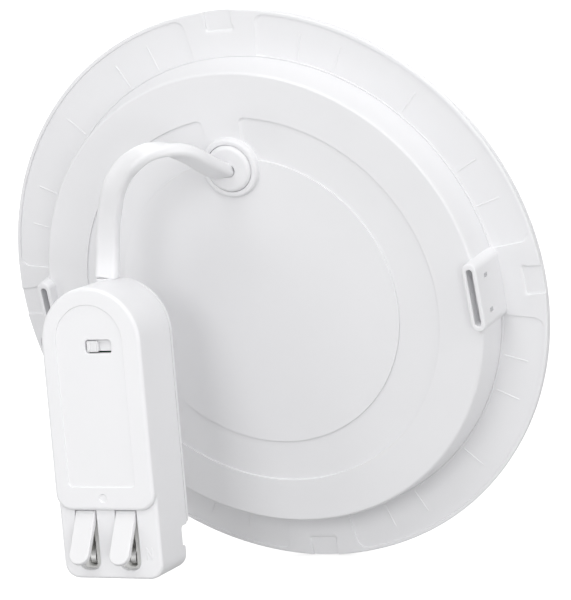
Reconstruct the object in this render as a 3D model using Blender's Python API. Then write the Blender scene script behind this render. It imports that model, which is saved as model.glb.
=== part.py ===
"""Round recessed LED ceiling panel with its separate driver on a short flat lead.

The frame: the origin is the centre of the flange's rear face, the face that lies on the
ceiling. The panel's rear points along -Y, its light leaves along +Y, and +Z is the way from
the centre to the lead's gland. The driver hangs on its lead behind the panel's lower left
edge. All sizes are in metres and all angles in degrees.
"""

import bmesh
import bpy
from math import atan2, cos, pi, radians, sin
from mathutils import Matrix, Vector

# Clearances and modelling values that several pieces share
seat_gap = 0.0003
cut_overrun = 0.0012
ring_steps = 72
gland_steps = 32
arch_steps = 10
corner_steps = 4
smooth_angle = 35

# Flange and can of the rear housing
flange_radius = 0.0850
flange_thickness = 0.0012
rim_round = 0.0005
flange_width = 0.0138
can_base_radius = flange_radius - flange_width
can_draft = 0.0017
can_rear_radius = can_base_radius - can_draft
can_height = 0.0096
can_edge_round = 0.0009
housing_wall = 0.0016

# Shallow recesses in the flange's rear face, between four level platforms
recess_depth = 0.0004
recess_margin = 0.0004
recess_rim = 0.0011
recess_inner_radius = can_base_radius + recess_margin
recess_outer_radius = flange_radius - recess_rim
recess_corner = 0.0028
platform_half_angle = 8.0
rim_notch_half_angle = 2.8
rim_notch_length = 0.0057
rim_notch_depth = 0.0005
rib_angles = (18.0, 27.0, 45.0, 63.0, 72.0)
rib_width = 0.0005
rib_height = 0.0002
rib_length = 0.0076

# Ring channel in the rear plate, open to both sides of the gland
channel_outer_share = 0.8072
channel_inner_share = 0.6302
channel_outer_radius = can_rear_radius * channel_outer_share
channel_inner_radius = can_rear_radius * channel_inner_share
channel_depth = 0.0004
channel_corner = 0.0014
channel_left_end = 7.8
channel_right_end = 5.4

# Gland boss and bushing
gland_edge_gap = 0.0281
gland_height = can_rear_radius - gland_edge_gap
bore_radius = 0.0070
boss_wall = 0.0010
boss_fillet = 0.0014
boss_radius = bore_radius + boss_wall
boss_foot_radius = boss_radius + boss_fillet
boss_height = boss_fillet
bushing_face_height = 0.0028
bushing_edge_round = 0.0012
bushing_lap = 0.0014
bushing_flange_radius = bore_radius + bushing_lap
bushing_flange_thickness = 0.0010

# Clip holders on the flange, one at each side of the can
lug_inset = 0.0006
lug_centre_radius = can_rear_radius - lug_inset
lug_thickness = 0.0044
lug_length = 0.0202
lug_height = 0.0134
lug_draft = 0.0015
lug_side_wall = 0.00125
lug_end_wall = 0.0017
lug_slot_width = lug_thickness - 2 * lug_side_wall
lug_slot_length = lug_length - 2 * lug_end_wall
lug_floor = 0.0024
latch_window_width = 0.0011
latch_window_height = 0.0016
latch_window_spacing = 0.0103
latch_window_level = 0.0085

# Front trim ring and diffuser
trim_depth = 0.0023
trim_round = 0.0015
trim_inner_radius = can_base_radius
trim_lip = 0.0008
trim_inset = 0.0001
diffuser_lap = 0.0024
diffuser_radius = trim_inner_radius + diffuser_lap
diffuser_thickness = trim_depth - trim_lip - seat_gap
diffuser_dome = 0.0003

# Light source inside the can
board_edge_gap = 0.0095
board_radius = can_rear_radius - board_edge_gap
board_thickness = 0.0010
board_post_height = 0.0018
board_post_radius = 0.0026
board_post_margin = 0.0034
board_post_ring = board_radius - board_post_radius - board_post_margin
board_screw_count = 3
board_screw_turn = 60.0
screw_head_radius = 0.0023
screw_head_height = 0.0013
screw_shank_radius = 0.0008
screw_length = 0.0036
screw_point_share = 0.8
screw_dome_share = 0.7
board_window_margin = 0.0012
board_window_radius = bushing_flange_radius + board_window_margin
led_edge_gap = 0.0080
led_ring_radius = board_post_ring - led_edge_gap
led_ring_shares = (0.348, 0.685, 1.0)
led_ring_counts = (5, 10, 15)
led_side = 0.0030
led_height = 0.0008
led_hole_margin = 0.0006
reflector_thickness = 0.0004
reflector_margin = 0.0010
reflector_floor_radius = board_radius + reflector_margin
reflector_rim_radius = lug_centre_radius - lug_thickness / 2 - seat_gap
reflector_rim_level = 0.0006
connector_width = 0.0076
connector_depth = 0.0034
connector_height = 0.0052
connector_gap = 0.0015

# Flat two-core lead
cord_width = 0.0066
cord_thickness = 0.0037
cord_hole_clearance = 0.0002
cord_tube_radius = 0.0026
cord_stop_wall = 0.0012
wire_radius = 0.0006
wire_spacing = 0.0028

# Driver: place and main sizes
driver_place = (-0.0337, -0.0477, -0.0654)
driver_lean = -11.76
driver_roll = 1.62
driver_turn = 1.79
driver_width = 0.0315
driver_length = 0.0842
driver_depth = 0.0207
driver_wall = 0.0016
front_round = 0.0010
foot_corner = 0.0044
cover_step = 0.0016
cover_bottom = 0.0202
cover_corner = 0.0048

# Driver back: main face, groove and lower face
insert_reach = 0.0137
insert_back = driver_depth - insert_reach
back_plate = 0.0013
back_split = 0.0123
floor_wall = 0.0017
groove_depth = insert_back - floor_wall - seat_gap
groove_bottom = 0.0066
groove_round = 0.0005
foot_back_share = 0.68
foot_back_depth = groove_depth * foot_back_share
foot_back_round_share = 0.4
foot_back_round = groove_depth * foot_back_round_share
lip_wall_share = 0.7

# Features of the driver's front
label_width = 0.0211
label_shift = -0.0005
label_foot_margin = 0.0068
label_top_margin = 0.0049
label_corner = 0.0014
label_depth = 0.0003
window_shift = 0.00225
window_drop = 0.0169
window_width = 0.0082
window_height = 0.0039
window_corner = 0.0010
dimple_shift = -0.00045
dimple_rise = 0.0036
dimple_radius = 0.0012
dimple_depth = 0.0004
driver_gland_offset = -0.0019
driver_gland_depth = 0.0035

# Levers of the two mains terminals
lever_pitch_share = 0.4079
lever_pitch = driver_width * lever_pitch_share
lever_shift = -0.000975
lever_width = 0.0063
lever_length = 0.0159
lever_thickness = 0.0016
lever_tip_round = 0.0029
lever_edge_round = 0.0003
lever_pivot_drop = 0.0012
lever_pivot_inset = 0.0019
lever_face_inset = 0.0001
lever_barrel_radius = 0.0009
lever_pin_radius = 0.0006
lever_pin_reach = 0.0009
lever_open_angle = 30.0
lever_pivot_height = cover_bottom - lever_pivot_drop
cam_reach = 0.0034
cam_offset = 0.0034
cam_thickness = 0.0014
cam_width = 0.0030
slot_clearance = 0.0003
slot_tip_clearance = 0.0005
slot_corner = 0.0026
slot_bottom = lever_pivot_height - lever_length - slot_tip_clearance

# Terminal insert, busbars and clamp springs
insert_gap = 0.0004
insert_head = 0.0015
insert_wall = 0.0016
pocket_roof = 0.0047
pocket_floor_wall = 0.0015
insert_bottom = driver_wall + insert_gap
insert_top = lever_pivot_height + insert_head
pocket_bottom = insert_bottom + insert_wall
pocket_top = insert_top - pocket_roof
pocket_floor = insert_back + pocket_floor_wall
wire_entry_radius = 0.0018
bearing_width = 0.0008
bearing_length = 0.0016
busbar_thickness = 0.0008
busbar_width = 0.0050
spring_width = cam_width
spring_thickness = 0.0004
input_wire_gap = 0.0002

# Driver circuit board and what stands on it
circuit_back = 0.0060
circuit_thickness = 0.0012
circuit_foot_gap = 0.0021
circuit_head_gap = 0.0042
circuit_margin = 0.0010
circuit_post_radius = 0.0016
circuit_foot = cover_bottom + circuit_foot_gap
circuit_top = driver_length - circuit_head_gap
circuit_face = circuit_back + circuit_thickness
circuit_half_width = driver_width / 2 - driver_wall - circuit_margin
block_corner = 0.0006
part_gap = 0.0006
wire_landing = 0.0040
first_row = circuit_foot + wire_landing
part_room = circuit_top - first_row
part_depth = driver_depth - driver_wall - circuit_face - seat_gap
tall_part_share = 0.76
tall_depth = part_depth * tall_part_share
flat_part_share = 0.15
flat_depth = part_depth * flat_part_share
film_capacitor_share = 0.2235
film_capacitor_size = (0.0060, part_room * film_capacitor_share, tall_depth)
bridge_share = 0.0745
bridge_size = (0.0044, part_room * bridge_share, flat_depth)
chip_share = 0.0782
chip_size = (0.0044, part_room * chip_share, flat_depth)
input_capacitor_share = 0.0764
input_capacitor_radius = part_room * input_capacitor_share
fuse_radius = 0.0017
fuse_share = 0.1304
fuse_length = part_room * fuse_share
right_stack = 2 * input_capacitor_radius + part_gap + chip_size[1]
middle_stack = bridge_size[1] + part_gap + fuse_length
second_row = first_row + max(film_capacitor_size[1], right_stack, middle_stack) + part_gap
core_width = 0.0172
core_share = 0.2421
core_height = part_room * core_share
core_depth_share = 0.48
core_depth = part_depth * core_depth_share
core_leg = 0.0028
winding_depth = tall_depth
third_row = second_row + core_height + part_gap
output_capacitor_share = 0.0670
output_capacitor_radius = part_room * output_capacitor_share
choke_share = 0.0484
choke_radius = part_room * choke_share
choke_height_share = 0.52
choke_height = part_depth * choke_height_share
can_groove_share = 0.125

# Colour switch behind the front window
switch_travel = 0.0040
switch_knob_width = 0.0037
switch_knob_height = 0.0032
switch_knob_inset = 0.0004
switch_plate_length = 0.0098
switch_plate_height = 0.0046
switch_plate_thickness = 0.0008
switch_body_width = 0.0090
switch_body_height = 0.0038
switch_body_share = 0.31
switch_body_depth = part_depth * switch_body_share
switch_post_side = 0.0014
switch_fork = 0.0008
switch_fork_reach = 0.0022
knob_corner_share = 0.7


def empty_scene():
    """Remove whatever the file opened with."""
    for thing in list(bpy.data.objects):
        bpy.data.objects.remove(thing, do_unlink=True)


def finish(name, colour, roughness, metallic=0.0):
    """A plain material with the part's colour, roughness and metallic value."""
    made = bpy.data.materials.new(name)
    made.use_nodes = True
    shader = made.node_tree.nodes["Principled BSDF"]
    shader.inputs["Base Color"].default_value = (*colour, 1.0)
    shader.inputs["Roughness"].default_value = roughness
    shader.inputs["Metallic"].default_value = metallic
    return made


def place(shape, name, surface, parent=None, at=(0, 0, 0)):
    """Turn a bmesh into a named object with outward faces and a material."""
    bmesh.ops.recalc_face_normals(shape, faces=shape.faces[:])
    mesh = bpy.data.meshes.new(name)
    shape.to_mesh(mesh)
    shape.free()
    mesh.shade_smooth()
    mesh.set_sharp_from_angle(angle=radians(smooth_angle))
    mesh.materials.append(surface)
    made = bpy.data.objects.new(name, mesh)
    bpy.context.scene.collection.objects.link(made)
    made.parent = parent
    made.location = at
    return made


def as_tool(thing):
    """Mark an object as one that only cuts or adds to another."""
    thing.hide_render = True
    thing.display_type = "WIRE"
    return thing


def combine(target, tool, operation, solver="EXACT"):
    """Cut a tool from a piece, or join it to the piece."""
    step = target.modifiers.new(tool.name, "BOOLEAN")
    step.operation = operation
    step.solver = solver
    step.object = as_tool(tool)


def arc(centre, radius, start, end, steps):
    """Points of an arc, angles in degrees, both ends included."""
    turns = [radians(start + (end - start) * i / steps) for i in range(steps + 1)]
    return [(centre[0] + radius * cos(a), centre[1] + radius * sin(a)) for a in turns]


def round_outline(centre, radius, steps):
    """A full circle's points."""
    return arc(centre, radius, 0, 360, steps)[:-1]


def rounded_box(left, right, low, high, corner, steps=corner_steps):
    """A rectangle with round corners."""
    points = arc((right - corner, low + corner), corner, -90, 0, steps)
    points += arc((right - corner, high - corner), corner, 0, 90, steps)
    points += arc((left + corner, high - corner), corner, 90, 180, steps)
    points += arc((left + corner, low + corner), corner, 180, 270, steps)
    return points


def stadium(width, height, steps=8):
    """An upright slot outline with round ends, centred on zero."""
    radius = width / 2
    rise = height / 2 - radius
    return arc((0, rise), radius, 0, 180, steps) + arc((0, -rise), radius, 180, 360, steps)


def arched(width, low, high, corner, shift=0.0):
    """The driver's outline: round lower corners and a half round top."""
    half = width / 2
    points = arc((shift + half - corner, low + corner), corner, -90, 0, corner_steps)
    points += arc((shift, high - half), half, 0, 180, 2 * arch_steps)
    points += arc((shift - half + corner, low + corner), corner, 180, 270, corner_steps)
    return points


def flat_section(room=0.0):
    """The flat lead's section lying level, grown by some room."""
    return [(b, -a) for a, b in stadium(cord_thickness + room, cord_width + room)]


def moved(outline, right, up):
    """An outline shifted in its plane."""
    return [(x + right, y + up) for x, y in outline]


def spot(a, b, along, axis):
    """A point of an outline (a, b) at a level on the axis that it is extruded along."""
    if axis == "X":
        return (along, a, b)
    if axis == "Y":
        return (a, along, b)
    return (a, b, along)


def add_loft(shape, lower, low, upper, high, axis="Y"):
    """Join two like outlines at two levels into one closed body."""
    first = [shape.verts.new(spot(a, b, low, axis)) for a, b in lower]
    second = [shape.verts.new(spot(a, b, high, axis)) for a, b in upper]
    count = len(first)
    for i in range(count):
        j = (i + 1) % count
        shape.faces.new((first[i], first[j], second[j], second[i]))
    shape.faces.new(first[::-1])
    shape.faces.new(second)
    return first, second


def add_prism(shape, outline, low, high, axis="Y"):
    """Extrude an outline between two levels."""
    return add_loft(shape, outline, low, outline, high, axis)


def add_frame(shape, outer, inner, low, high, axis="Y"):
    """Extrude a closed wall between an outer and an inner outline of as many points."""
    rows = []
    for outline, level in ((outer, low), (outer, high), (inner, high), (inner, low)):
        rows.append([shape.verts.new(spot(a, b, level, axis)) for a, b in outline])
    count = len(outer)
    for k in range(4):
        here = rows[k]
        there = rows[(k + 1) % 4]
        for i in range(count):
            j = (i + 1) % count
            shape.faces.new((here[i], here[j], there[j], there[i]))


def add_block(shape, size, middle, turn=0.0):
    """A block of a size about a middle point, turned about Y."""
    stretch = Matrix.Diagonal((*size, 1.0))
    where = Matrix.Translation(middle) @ Matrix.Rotation(radians(turn), 4, "Y") @ stretch
    bmesh.ops.create_cube(shape, size=1.0, matrix=where)


def add_turned(shape, profile, centre=(0.0, 0.0), steps=ring_steps):
    """Turn a closed profile of (radius, level) points about an axis along Y."""
    start = [shape.verts.new((r + centre[0], level, centre[1])) for r, level in profile]
    edges = []
    for i, here in enumerate(profile):
        j = (i + 1) % len(profile)
        if here[0] > 0 or profile[j][0] > 0:
            edges.append(shape.edges.new((start[i], start[j])))
    bmesh.ops.spin(
        shape,
        geom=start + edges,
        cent=(centre[0], 0.0, centre[1]),
        axis=(0.0, 1.0, 0.0),
        angle=2 * pi,
        steps=steps,
        use_merge=True,
    )
    weld = seat_gap / 100
    bmesh.ops.remove_doubles(shape, verts=shape.verts[:], dist=weld)


def turned_body(profile, centre=(0.0, 0.0), steps=ring_steps):
    """A bmesh that holds one turned body."""
    shape = bmesh.new()
    add_turned(shape, profile, centre, steps)
    return shape


def prism_body(outline, low, high, axis="Y"):
    """A bmesh that holds one extruded outline."""
    shape = bmesh.new()
    add_prism(shape, outline, low, high, axis)
    return shape


def round_rim(shape, ring, amount, segments=2):
    """Round the edges that run along a ring of points."""
    wanted = set(ring)
    edges = [e for e in shape.edges if e.verts[0] in wanted and e.verts[1] in wanted]
    bmesh.ops.bevel(
        shape,
        geom=edges,
        offset=amount,
        segments=segments,
        profile=0.5,
        affect="EDGES",
        clamp_overlap=True,
    )


def sector(inner, outer, start, end, corner, steps):
    """A ring's stretch between two angles from +Z, with its outer corners rounded."""
    trim = corner / outer
    points = []
    for i in range(steps + 1):
        a = radians(start) + trim + (radians(end - start) - 2 * trim) * i / steps
        points.append((outer * sin(a), outer * cos(a)))
    for k in range(1, corner_steps + 1):
        swing = pi / 2 * k / corner_steps
        a = radians(end) - trim + trim * sin(swing)
        r = outer - corner + corner * cos(swing)
        points.append((r * sin(a), r * cos(a)))
    for i in range(steps + 1):
        a = radians(end - (end - start) * i / steps)
        points.append((inner * sin(a), inner * cos(a)))
    for k in range(corner_steps):
        swing = pi / 2 * k / corner_steps
        a = radians(start) + trim - trim * cos(swing)
        r = outer - corner + corner * sin(swing)
        points.append((r * sin(a), r * cos(a)))
    return points


def wire_object(name, run, radius, surface, parent=None, resolution=1):
    """A round wire that follows a run of points."""
    curve = bpy.data.curves.new(name, "CURVE")
    curve.dimensions = "3D"
    curve.bevel_depth = radius
    curve.bevel_resolution = resolution
    curve.use_fill_caps = True
    curve.materials.append(surface)
    line = curve.splines.new("POLY")
    line.points.add(len(run) - 1)
    for point, where in zip(line.points, run):
        point.co = (*where, 1.0)
    made = bpy.data.objects.new(name, curve)
    bpy.context.scene.collection.objects.link(made)
    made.parent = parent
    return made


def smooth_run(route, count):
    """Points at even spacing on a smooth curve through a route's own points."""
    knots = [Vector(p) for p in route]
    ends = [2 * knots[0] - knots[1], *knots, 2 * knots[-1] - knots[-2]]
    fine = []
    per_span = 24
    for i in range(1, len(ends) - 2):
        p0, p1, p2, p3 = ends[i - 1 : i + 3]
        for k in range(per_span):
            t = k / per_span
            pull = (2 * p0 - 5 * p1 + 4 * p2 - p3) * t * t
            swing = (3 * p1 - p0 - 3 * p2 + p3) * t * t * t
            fine.append(0.5 * (2 * p1 + (p2 - p0) * t + pull + swing))
    fine.append(knots[-1])
    lengths = [0.0]
    for a, b in zip(fine, fine[1:]):
        lengths.append(lengths[-1] + (b - a).length)
    points = []
    k = 0
    for i in range(count):
        goal = lengths[-1] * i / (count - 1)
        while k < len(lengths) - 2 and lengths[k + 1] < goal:
            k += 1
        share = (goal - lengths[k]) / max(lengths[k + 1] - lengths[k], 1e-12)
        points.append(fine[k].lerp(fine[k + 1], min(share, 1.0)))
    return points


# Finishes
white_housing = finish("white_polycarbonate", (0.80, 0.81, 0.82), 0.42)
white_trim = finish("white_trim_plastic", (0.82, 0.83, 0.84), 0.36)
white_driver = finish("white_driver_plastic", (0.84, 0.85, 0.86), 0.45)
white_lever = finish("white_lever_plastic", (0.88, 0.88, 0.88), 0.34)
white_cord = finish("white_cord_jacket", (0.83, 0.84, 0.85), 0.48)
opal = finish("opal_acrylic", (0.90, 0.90, 0.88), 0.30)
white_film = finish("white_reflector_film", (0.90, 0.90, 0.90), 0.55)
white_board = finish("white_board_lacquer", (0.86, 0.87, 0.86), 0.40)
zinc_steel = finish("zinc_plated_steel", (0.62, 0.63, 0.64), 0.32, 1.0)
spring_steel = finish("spring_steel", (0.55, 0.56, 0.58), 0.28, 1.0)
brass = finish("tinned_brass", (0.70, 0.66, 0.55), 0.30, 1.0)
cream_nylon = finish("cream_nylon", (0.80, 0.78, 0.70), 0.50)
green_board = finish("green_circuit_board", (0.06, 0.26, 0.12), 0.38)
black_plastic = finish("black_plastic", (0.03, 0.03, 0.03), 0.45)
dark_ferrite = finish("dark_ferrite", (0.06, 0.06, 0.065), 0.60)
winding_tape = finish("yellow_winding_tape", (0.80, 0.62, 0.12), 0.42)
sleeve_blue = finish("dark_blue_sleeve", (0.04, 0.08, 0.28), 0.35)
film_yellow = finish("yellow_film_case", (0.78, 0.60, 0.10), 0.40)
red_wire = finish("wire_insulation", (0.62, 0.05, 0.04), 0.45)

# Levels along Y that the panel's pieces share
rear_level = -can_height
inside_level = rear_level + housing_wall
trim_back_level = flange_thickness + seat_gap
trim_front_level = trim_back_level + trim_depth
board_back_level = inside_level + board_post_height + seat_gap
board_front_level = board_back_level + board_thickness
film_back_level = board_front_level + seat_gap
boss_level = rear_level - boss_height
bushing_level = rear_level - bushing_face_height


def rear_housing():
    """Flange, drafted can and rear plate in one moulding, with lugs, boss and posts."""
    rounding = arc((rim_round, rim_round), rim_round, 180, 270, 3)
    rim = [(flange_radius - a, b) for a, b in rounding]
    corner_centre = (can_rear_radius - can_edge_round, rear_level + can_edge_round)
    corner = [(a, b) for a, b in arc(corner_centre, can_edge_round, 0, -90, 4)]
    inner_wall = can_base_radius - housing_wall
    inner_rear = can_rear_radius - housing_wall
    profile = [(flange_radius, flange_thickness)]
    profile += rim
    profile += [(can_base_radius, 0.0)]
    profile += corner
    profile += [(0.0, rear_level)]
    profile += [(0.0, inside_level)]
    profile += [(inner_rear, inside_level)]
    profile += [(inner_wall, flange_thickness)]
    body = place(turned_body(profile), "rear_housing", white_housing)

    added = bmesh.new()
    for side in (-1, 1):
        root = stadium(lug_thickness + lug_draft, lug_length + lug_draft / 2)
        top = stadium(lug_thickness, lug_length)
        where = side * lug_centre_radius
        foot = side * (lug_centre_radius + lug_draft / 2)
        start = flange_thickness / 2
        add_loft(added, moved(root, foot, 0), start, moved(top, where, 0), -lug_height)
    combine(body, place(added, "lug_blanks", white_housing), "UNION")

    foot = arc((boss_foot_radius, boss_level), boss_foot_radius - boss_radius, 90, 180, 4)
    boss = [(0.0, inside_level - housing_wall / 2)]
    boss += [(boss_foot_radius, inside_level - housing_wall / 2)]
    boss += foot
    boss += [(0.0, boss_level)]
    centre = (0.0, gland_height)
    combine(body, place(turned_body(boss, centre, gland_steps), "boss_blank", white_housing), "UNION")

    posts = bmesh.new()
    for x, z in screw_places():
        low = inside_level - housing_wall / 2
        ring = round_outline((x, z), board_post_radius, 12)
        add_prism(posts, ring, low, inside_level + board_post_height)
    combine(body, place(posts, "post_blanks", white_housing), "UNION")

    combine(body, place(housing_bores(), "housing_bores", white_housing), "DIFFERENCE")
    # The fine cuts meet many faces at once, where only the manifold solver stays closed
    windows = place(latch_windows(), "latch_windows", white_housing)
    combine(body, windows, "DIFFERENCE", "MANIFOLD")
    grooves = place(housing_cuts(), "housing_cuts", white_housing)
    combine(body, grooves, "DIFFERENCE", "MANIFOLD")
    combine(body, place(flange_ribs(), "flange_ribs", white_housing), "UNION", "MANIFOLD")
    return body


def screw_places():
    """Where the board's screws stand, as (x, z)."""
    places = []
    for i in range(board_screw_count):
        a = radians(90 + board_screw_turn + 360 * i / board_screw_count)
        places.append((board_post_ring * cos(a), board_post_ring * sin(a)))
    return places


def housing_cuts():
    """Flange recesses, rim notches and the ring channel, as one set of cutters."""
    cuts = bmesh.new()
    for quarter in range(4):
        start = 90 * quarter + platform_half_angle
        end = 90 * (quarter + 1) - platform_half_angle
        outline = sector(recess_inner_radius, recess_outer_radius, start, end, recess_corner, 12)
        add_prism(cuts, outline, -cut_overrun / 4, recess_depth)
        low = 90 * quarter - rim_notch_half_angle
        high = 90 * quarter + rim_notch_half_angle
        outer = flange_radius + cut_overrun
        corner = cut_overrun / 4
        notch = sector(flange_radius - rim_notch_length, outer, low, high, corner, 3)
        add_prism(cuts, notch, -cut_overrun / 4, rim_notch_depth)
    start = channel_right_end
    end = 360 - channel_left_end
    ring = sector(channel_inner_radius, channel_outer_radius, start, end, channel_corner, 60)
    add_prism(cuts, ring, rear_level - cut_overrun, rear_level + channel_depth)
    return cuts


def housing_bores():
    """The gland's bore, the clip slots with their latch windows, and the screw holes."""
    cuts = bmesh.new()
    bore = round_outline((0, gland_height), bore_radius, gland_steps)
    add_prism(cuts, bore, boss_level - cut_overrun, inside_level + cut_overrun)
    slot = stadium(lug_slot_width, lug_slot_length)
    for side in (-1, 1):
        where = side * lug_centre_radius
        add_prism(cuts, moved(slot, where, 0), -lug_height - cut_overrun, -lug_floor)
    for x, z in screw_places():
        hole = round_outline((x, z), screw_shank_radius + seat_gap, 8)
        low = inside_level - housing_wall / 4
        add_prism(cuts, hole, low, inside_level + board_post_height + cut_overrun)
    return cuts


def latch_windows():
    """Small windows from each clip slot to the lug's outer side."""
    cuts = bmesh.new()
    reach = lug_thickness / 2 + lug_draft
    for side in (-1, 1):
        where = side * (lug_centre_radius + reach / 2)
        for rise in (-latch_window_spacing / 2, latch_window_spacing / 2):
            size = (reach, latch_window_height, latch_window_width)
            add_block(cuts, size, (where, -latch_window_level, rise))
    return cuts


def flange_ribs():
    """Fine radial ribs on the recessed stretches of the flange."""
    ribs = bmesh.new()
    middle_radius = recess_inner_radius + rib_length / 2 + seat_gap
    for quarter in range(4):
        for turn in rib_angles:
            a = radians(90 * quarter + turn)
            middle = (middle_radius * sin(a), recess_depth, middle_radius * cos(a))
            add_block(ribs, (rib_width, 2 * rib_height, rib_length), middle, 90 * quarter + turn)
    return ribs


def gland_bushing():
    """Domed bushing that stands in the boss, with a flat hole for the lead."""
    radius = bore_radius - seat_gap
    crown = bushing_level + bushing_edge_round
    edge = arc((radius - bushing_edge_round, crown), bushing_edge_round, 0, -80, 4)
    flange_back = inside_level + seat_gap
    flange_front = flange_back + bushing_flange_thickness
    profile = [(0.0, flange_front)]
    profile += [(bushing_flange_radius, flange_front)]
    profile += [(bushing_flange_radius, flange_back)]
    profile += [(radius, flange_back)]
    profile += edge
    profile += [(0.0, bushing_level - seat_gap)]
    centre = (0.0, gland_height)
    body = place(turned_body(profile, centre, gland_steps), "gland_bushing", white_housing)
    gap = 2 * cord_hole_clearance
    hole = moved(flat_section(gap), 0, gland_height)
    cutter = prism_body(hole, bushing_level - cut_overrun, flange_front + cut_overrun)
    combine(body, place(cutter, "bushing_hole", white_housing), "DIFFERENCE")
    return body


def front_trim():
    """Front ring that covers the flange and holds the diffuser behind its lip."""
    outer = flange_radius - trim_inset
    round_centre = (outer - trim_round, trim_front_level - trim_round)
    edge = arc(round_centre, trim_round, 0, 90, 4)
    rebate = diffuser_radius + seat_gap
    lip_level = trim_front_level - trim_lip
    profile = [(outer, trim_back_level)]
    profile += edge
    profile += [(trim_inner_radius + trim_lip / 2, trim_front_level)]
    profile += [(trim_inner_radius, trim_front_level - trim_lip / 2)]
    profile += [(trim_inner_radius, lip_level)]
    profile += [(rebate, lip_level)]
    profile += [(rebate, trim_back_level)]
    return place(turned_body(profile), "front_trim", white_trim)


def diffuser():
    """Opal disc, slightly domed to the front, seated between flange and trim lip."""
    front = trim_back_level + diffuser_thickness
    dome_edge = trim_inner_radius - seat_gap
    profile = [(0.0, trim_back_level)]
    profile += [(diffuser_radius, trim_back_level)]
    profile += [(diffuser_radius, front - diffuser_dome)]
    profile += [(dome_edge, front - diffuser_dome)]
    rings = 3
    for i in range(rings):
        share = 1 - (i + 1) / rings
        rise = diffuser_dome * (1 - share * share)
        profile.append((dome_edge * share, front - diffuser_dome + rise))
    return place(turned_body(profile), "diffuser", opal)


def led_places():
    """Centres of the LED packages, clear of the gland window and the screws."""
    places = []
    for share, count in zip(led_ring_shares, led_ring_counts):
        radius = led_ring_radius * share
        for i in range(count):
            a = 2 * pi * (i + 0.5) / count
            x = radius * sin(a)
            z = radius * cos(a)
            room = led_side + 2 * led_hole_margin
            beside = abs(x) > board_window_radius + room
            below = z < reflector_window_bottom() - room
            if beside or below:
                places.append((x, z, a))
    return places


def connector_level():
    """Height of the board connector's middle."""
    return gland_height - bushing_flange_radius - connector_height / 2 - connector_gap


def reflector_window_bottom():
    """Lower edge of the reflector's window, just under the board connector."""
    return connector_level() - connector_height / 2 - seat_gap


def led_board():
    """Round aluminium-core board on the posts, with its soldered LED packages."""
    outline = round_outline((0, 0), board_radius, ring_steps)
    body = place(prism_body(outline, board_back_level, board_front_level), "led_board", white_board)
    cuts = bmesh.new()
    low = board_back_level - cut_overrun
    high = board_front_level + cut_overrun
    window = round_outline((0, gland_height), board_window_radius, 24)
    add_prism(cuts, window, low, high)
    for x, z in screw_places():
        add_prism(cuts, round_outline((x, z), screw_shank_radius + 2 * seat_gap, 8), low, high)
    combine(body, place(cuts, "board_holes", white_board), "DIFFERENCE")
    packages = bmesh.new()
    for x, z, a in led_places():
        size = (led_side, 2 * led_height, led_side)
        add_block(packages, size, (x, board_front_level, z), a * 180 / pi)
    combine(body, place(packages, "led_packages", white_board), "UNION")
    return body


def reflector():
    """Thin white tray over the board, with a hole for each LED and a raised rim."""
    thick = reflector_thickness
    low = film_back_level
    profile = [(0.0, low)]
    profile += [(reflector_floor_radius, low)]
    profile += [(reflector_rim_radius, reflector_rim_level)]
    profile += [(reflector_rim_radius - thick, reflector_rim_level)]
    profile += [(reflector_floor_radius - thick, low + thick)]
    profile += [(0.0, low + thick)]
    body = place(turned_body(profile), "reflector", white_film)
    cuts = bmesh.new()
    side = led_side + 2 * led_hole_margin
    for x, z, a in led_places():
        add_block(cuts, (side, 4 * thick, side), (x, low + thick / 2, z), a * 180 / pi)
    top = gland_height + board_window_radius
    half = board_window_radius
    window = rounded_box(-half, half, reflector_window_bottom(), top, window_corner, 3)
    add_prism(cuts, window, low - 2 * thick, low + 3 * thick)
    for x, z in screw_places():
        ring = round_outline((x, z), screw_head_radius + 2 * seat_gap, 12)
        add_prism(cuts, ring, low - 2 * thick, low + 3 * thick)
    combine(body, place(cuts, "reflector_holes", white_film), "DIFFERENCE")
    return body


def board_screws():
    """Pan-head screws that hold the board to the posts."""
    under = board_front_level + seat_gap
    shoulder = screw_head_height * screw_dome_share / 2
    for i, centre in enumerate(screw_places()):
        profile = [(0.0, under - screw_length)]
        profile += [(screw_shank_radius * screw_point_share, under - screw_length)]
        profile += [(screw_shank_radius, under - screw_length * screw_point_share)]
        profile += [(screw_shank_radius, under)]
        profile += [(screw_head_radius, under)]
        profile += [(screw_head_radius, under + shoulder)]
        profile += [(screw_head_radius * screw_dome_share, under + screw_head_height)]
        profile += [(0.0, under + screw_head_height)]
        screw = turned_body(profile, centre, 12)
        place(screw, f"board_screw_{i + 1}", zinc_steel)


def board_connector():
    """Small two-pole connector on the board, under the gland."""
    low = board_front_level + seat_gap
    half = connector_width / 2
    middle = connector_level()
    rise = connector_height / 2
    outline = rounded_box(-half, half, middle - rise, middle + rise, connector_depth / 8, 2)
    body = place(prism_body(outline, low, low + connector_depth), "board_connector", cream_nylon)
    cuts = bmesh.new()
    for side in (-1, 1):
        x = side * wire_spacing / 2
        size = (2 * wire_radius + 2 * seat_gap, 2 * wire_radius + 2 * seat_gap, rise)
        add_block(cuts, size, (x, low + connector_depth / 2, middle + rise))
    combine(body, place(cuts, "connector_holes", cream_nylon), "DIFFERENCE")
    return body


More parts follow.
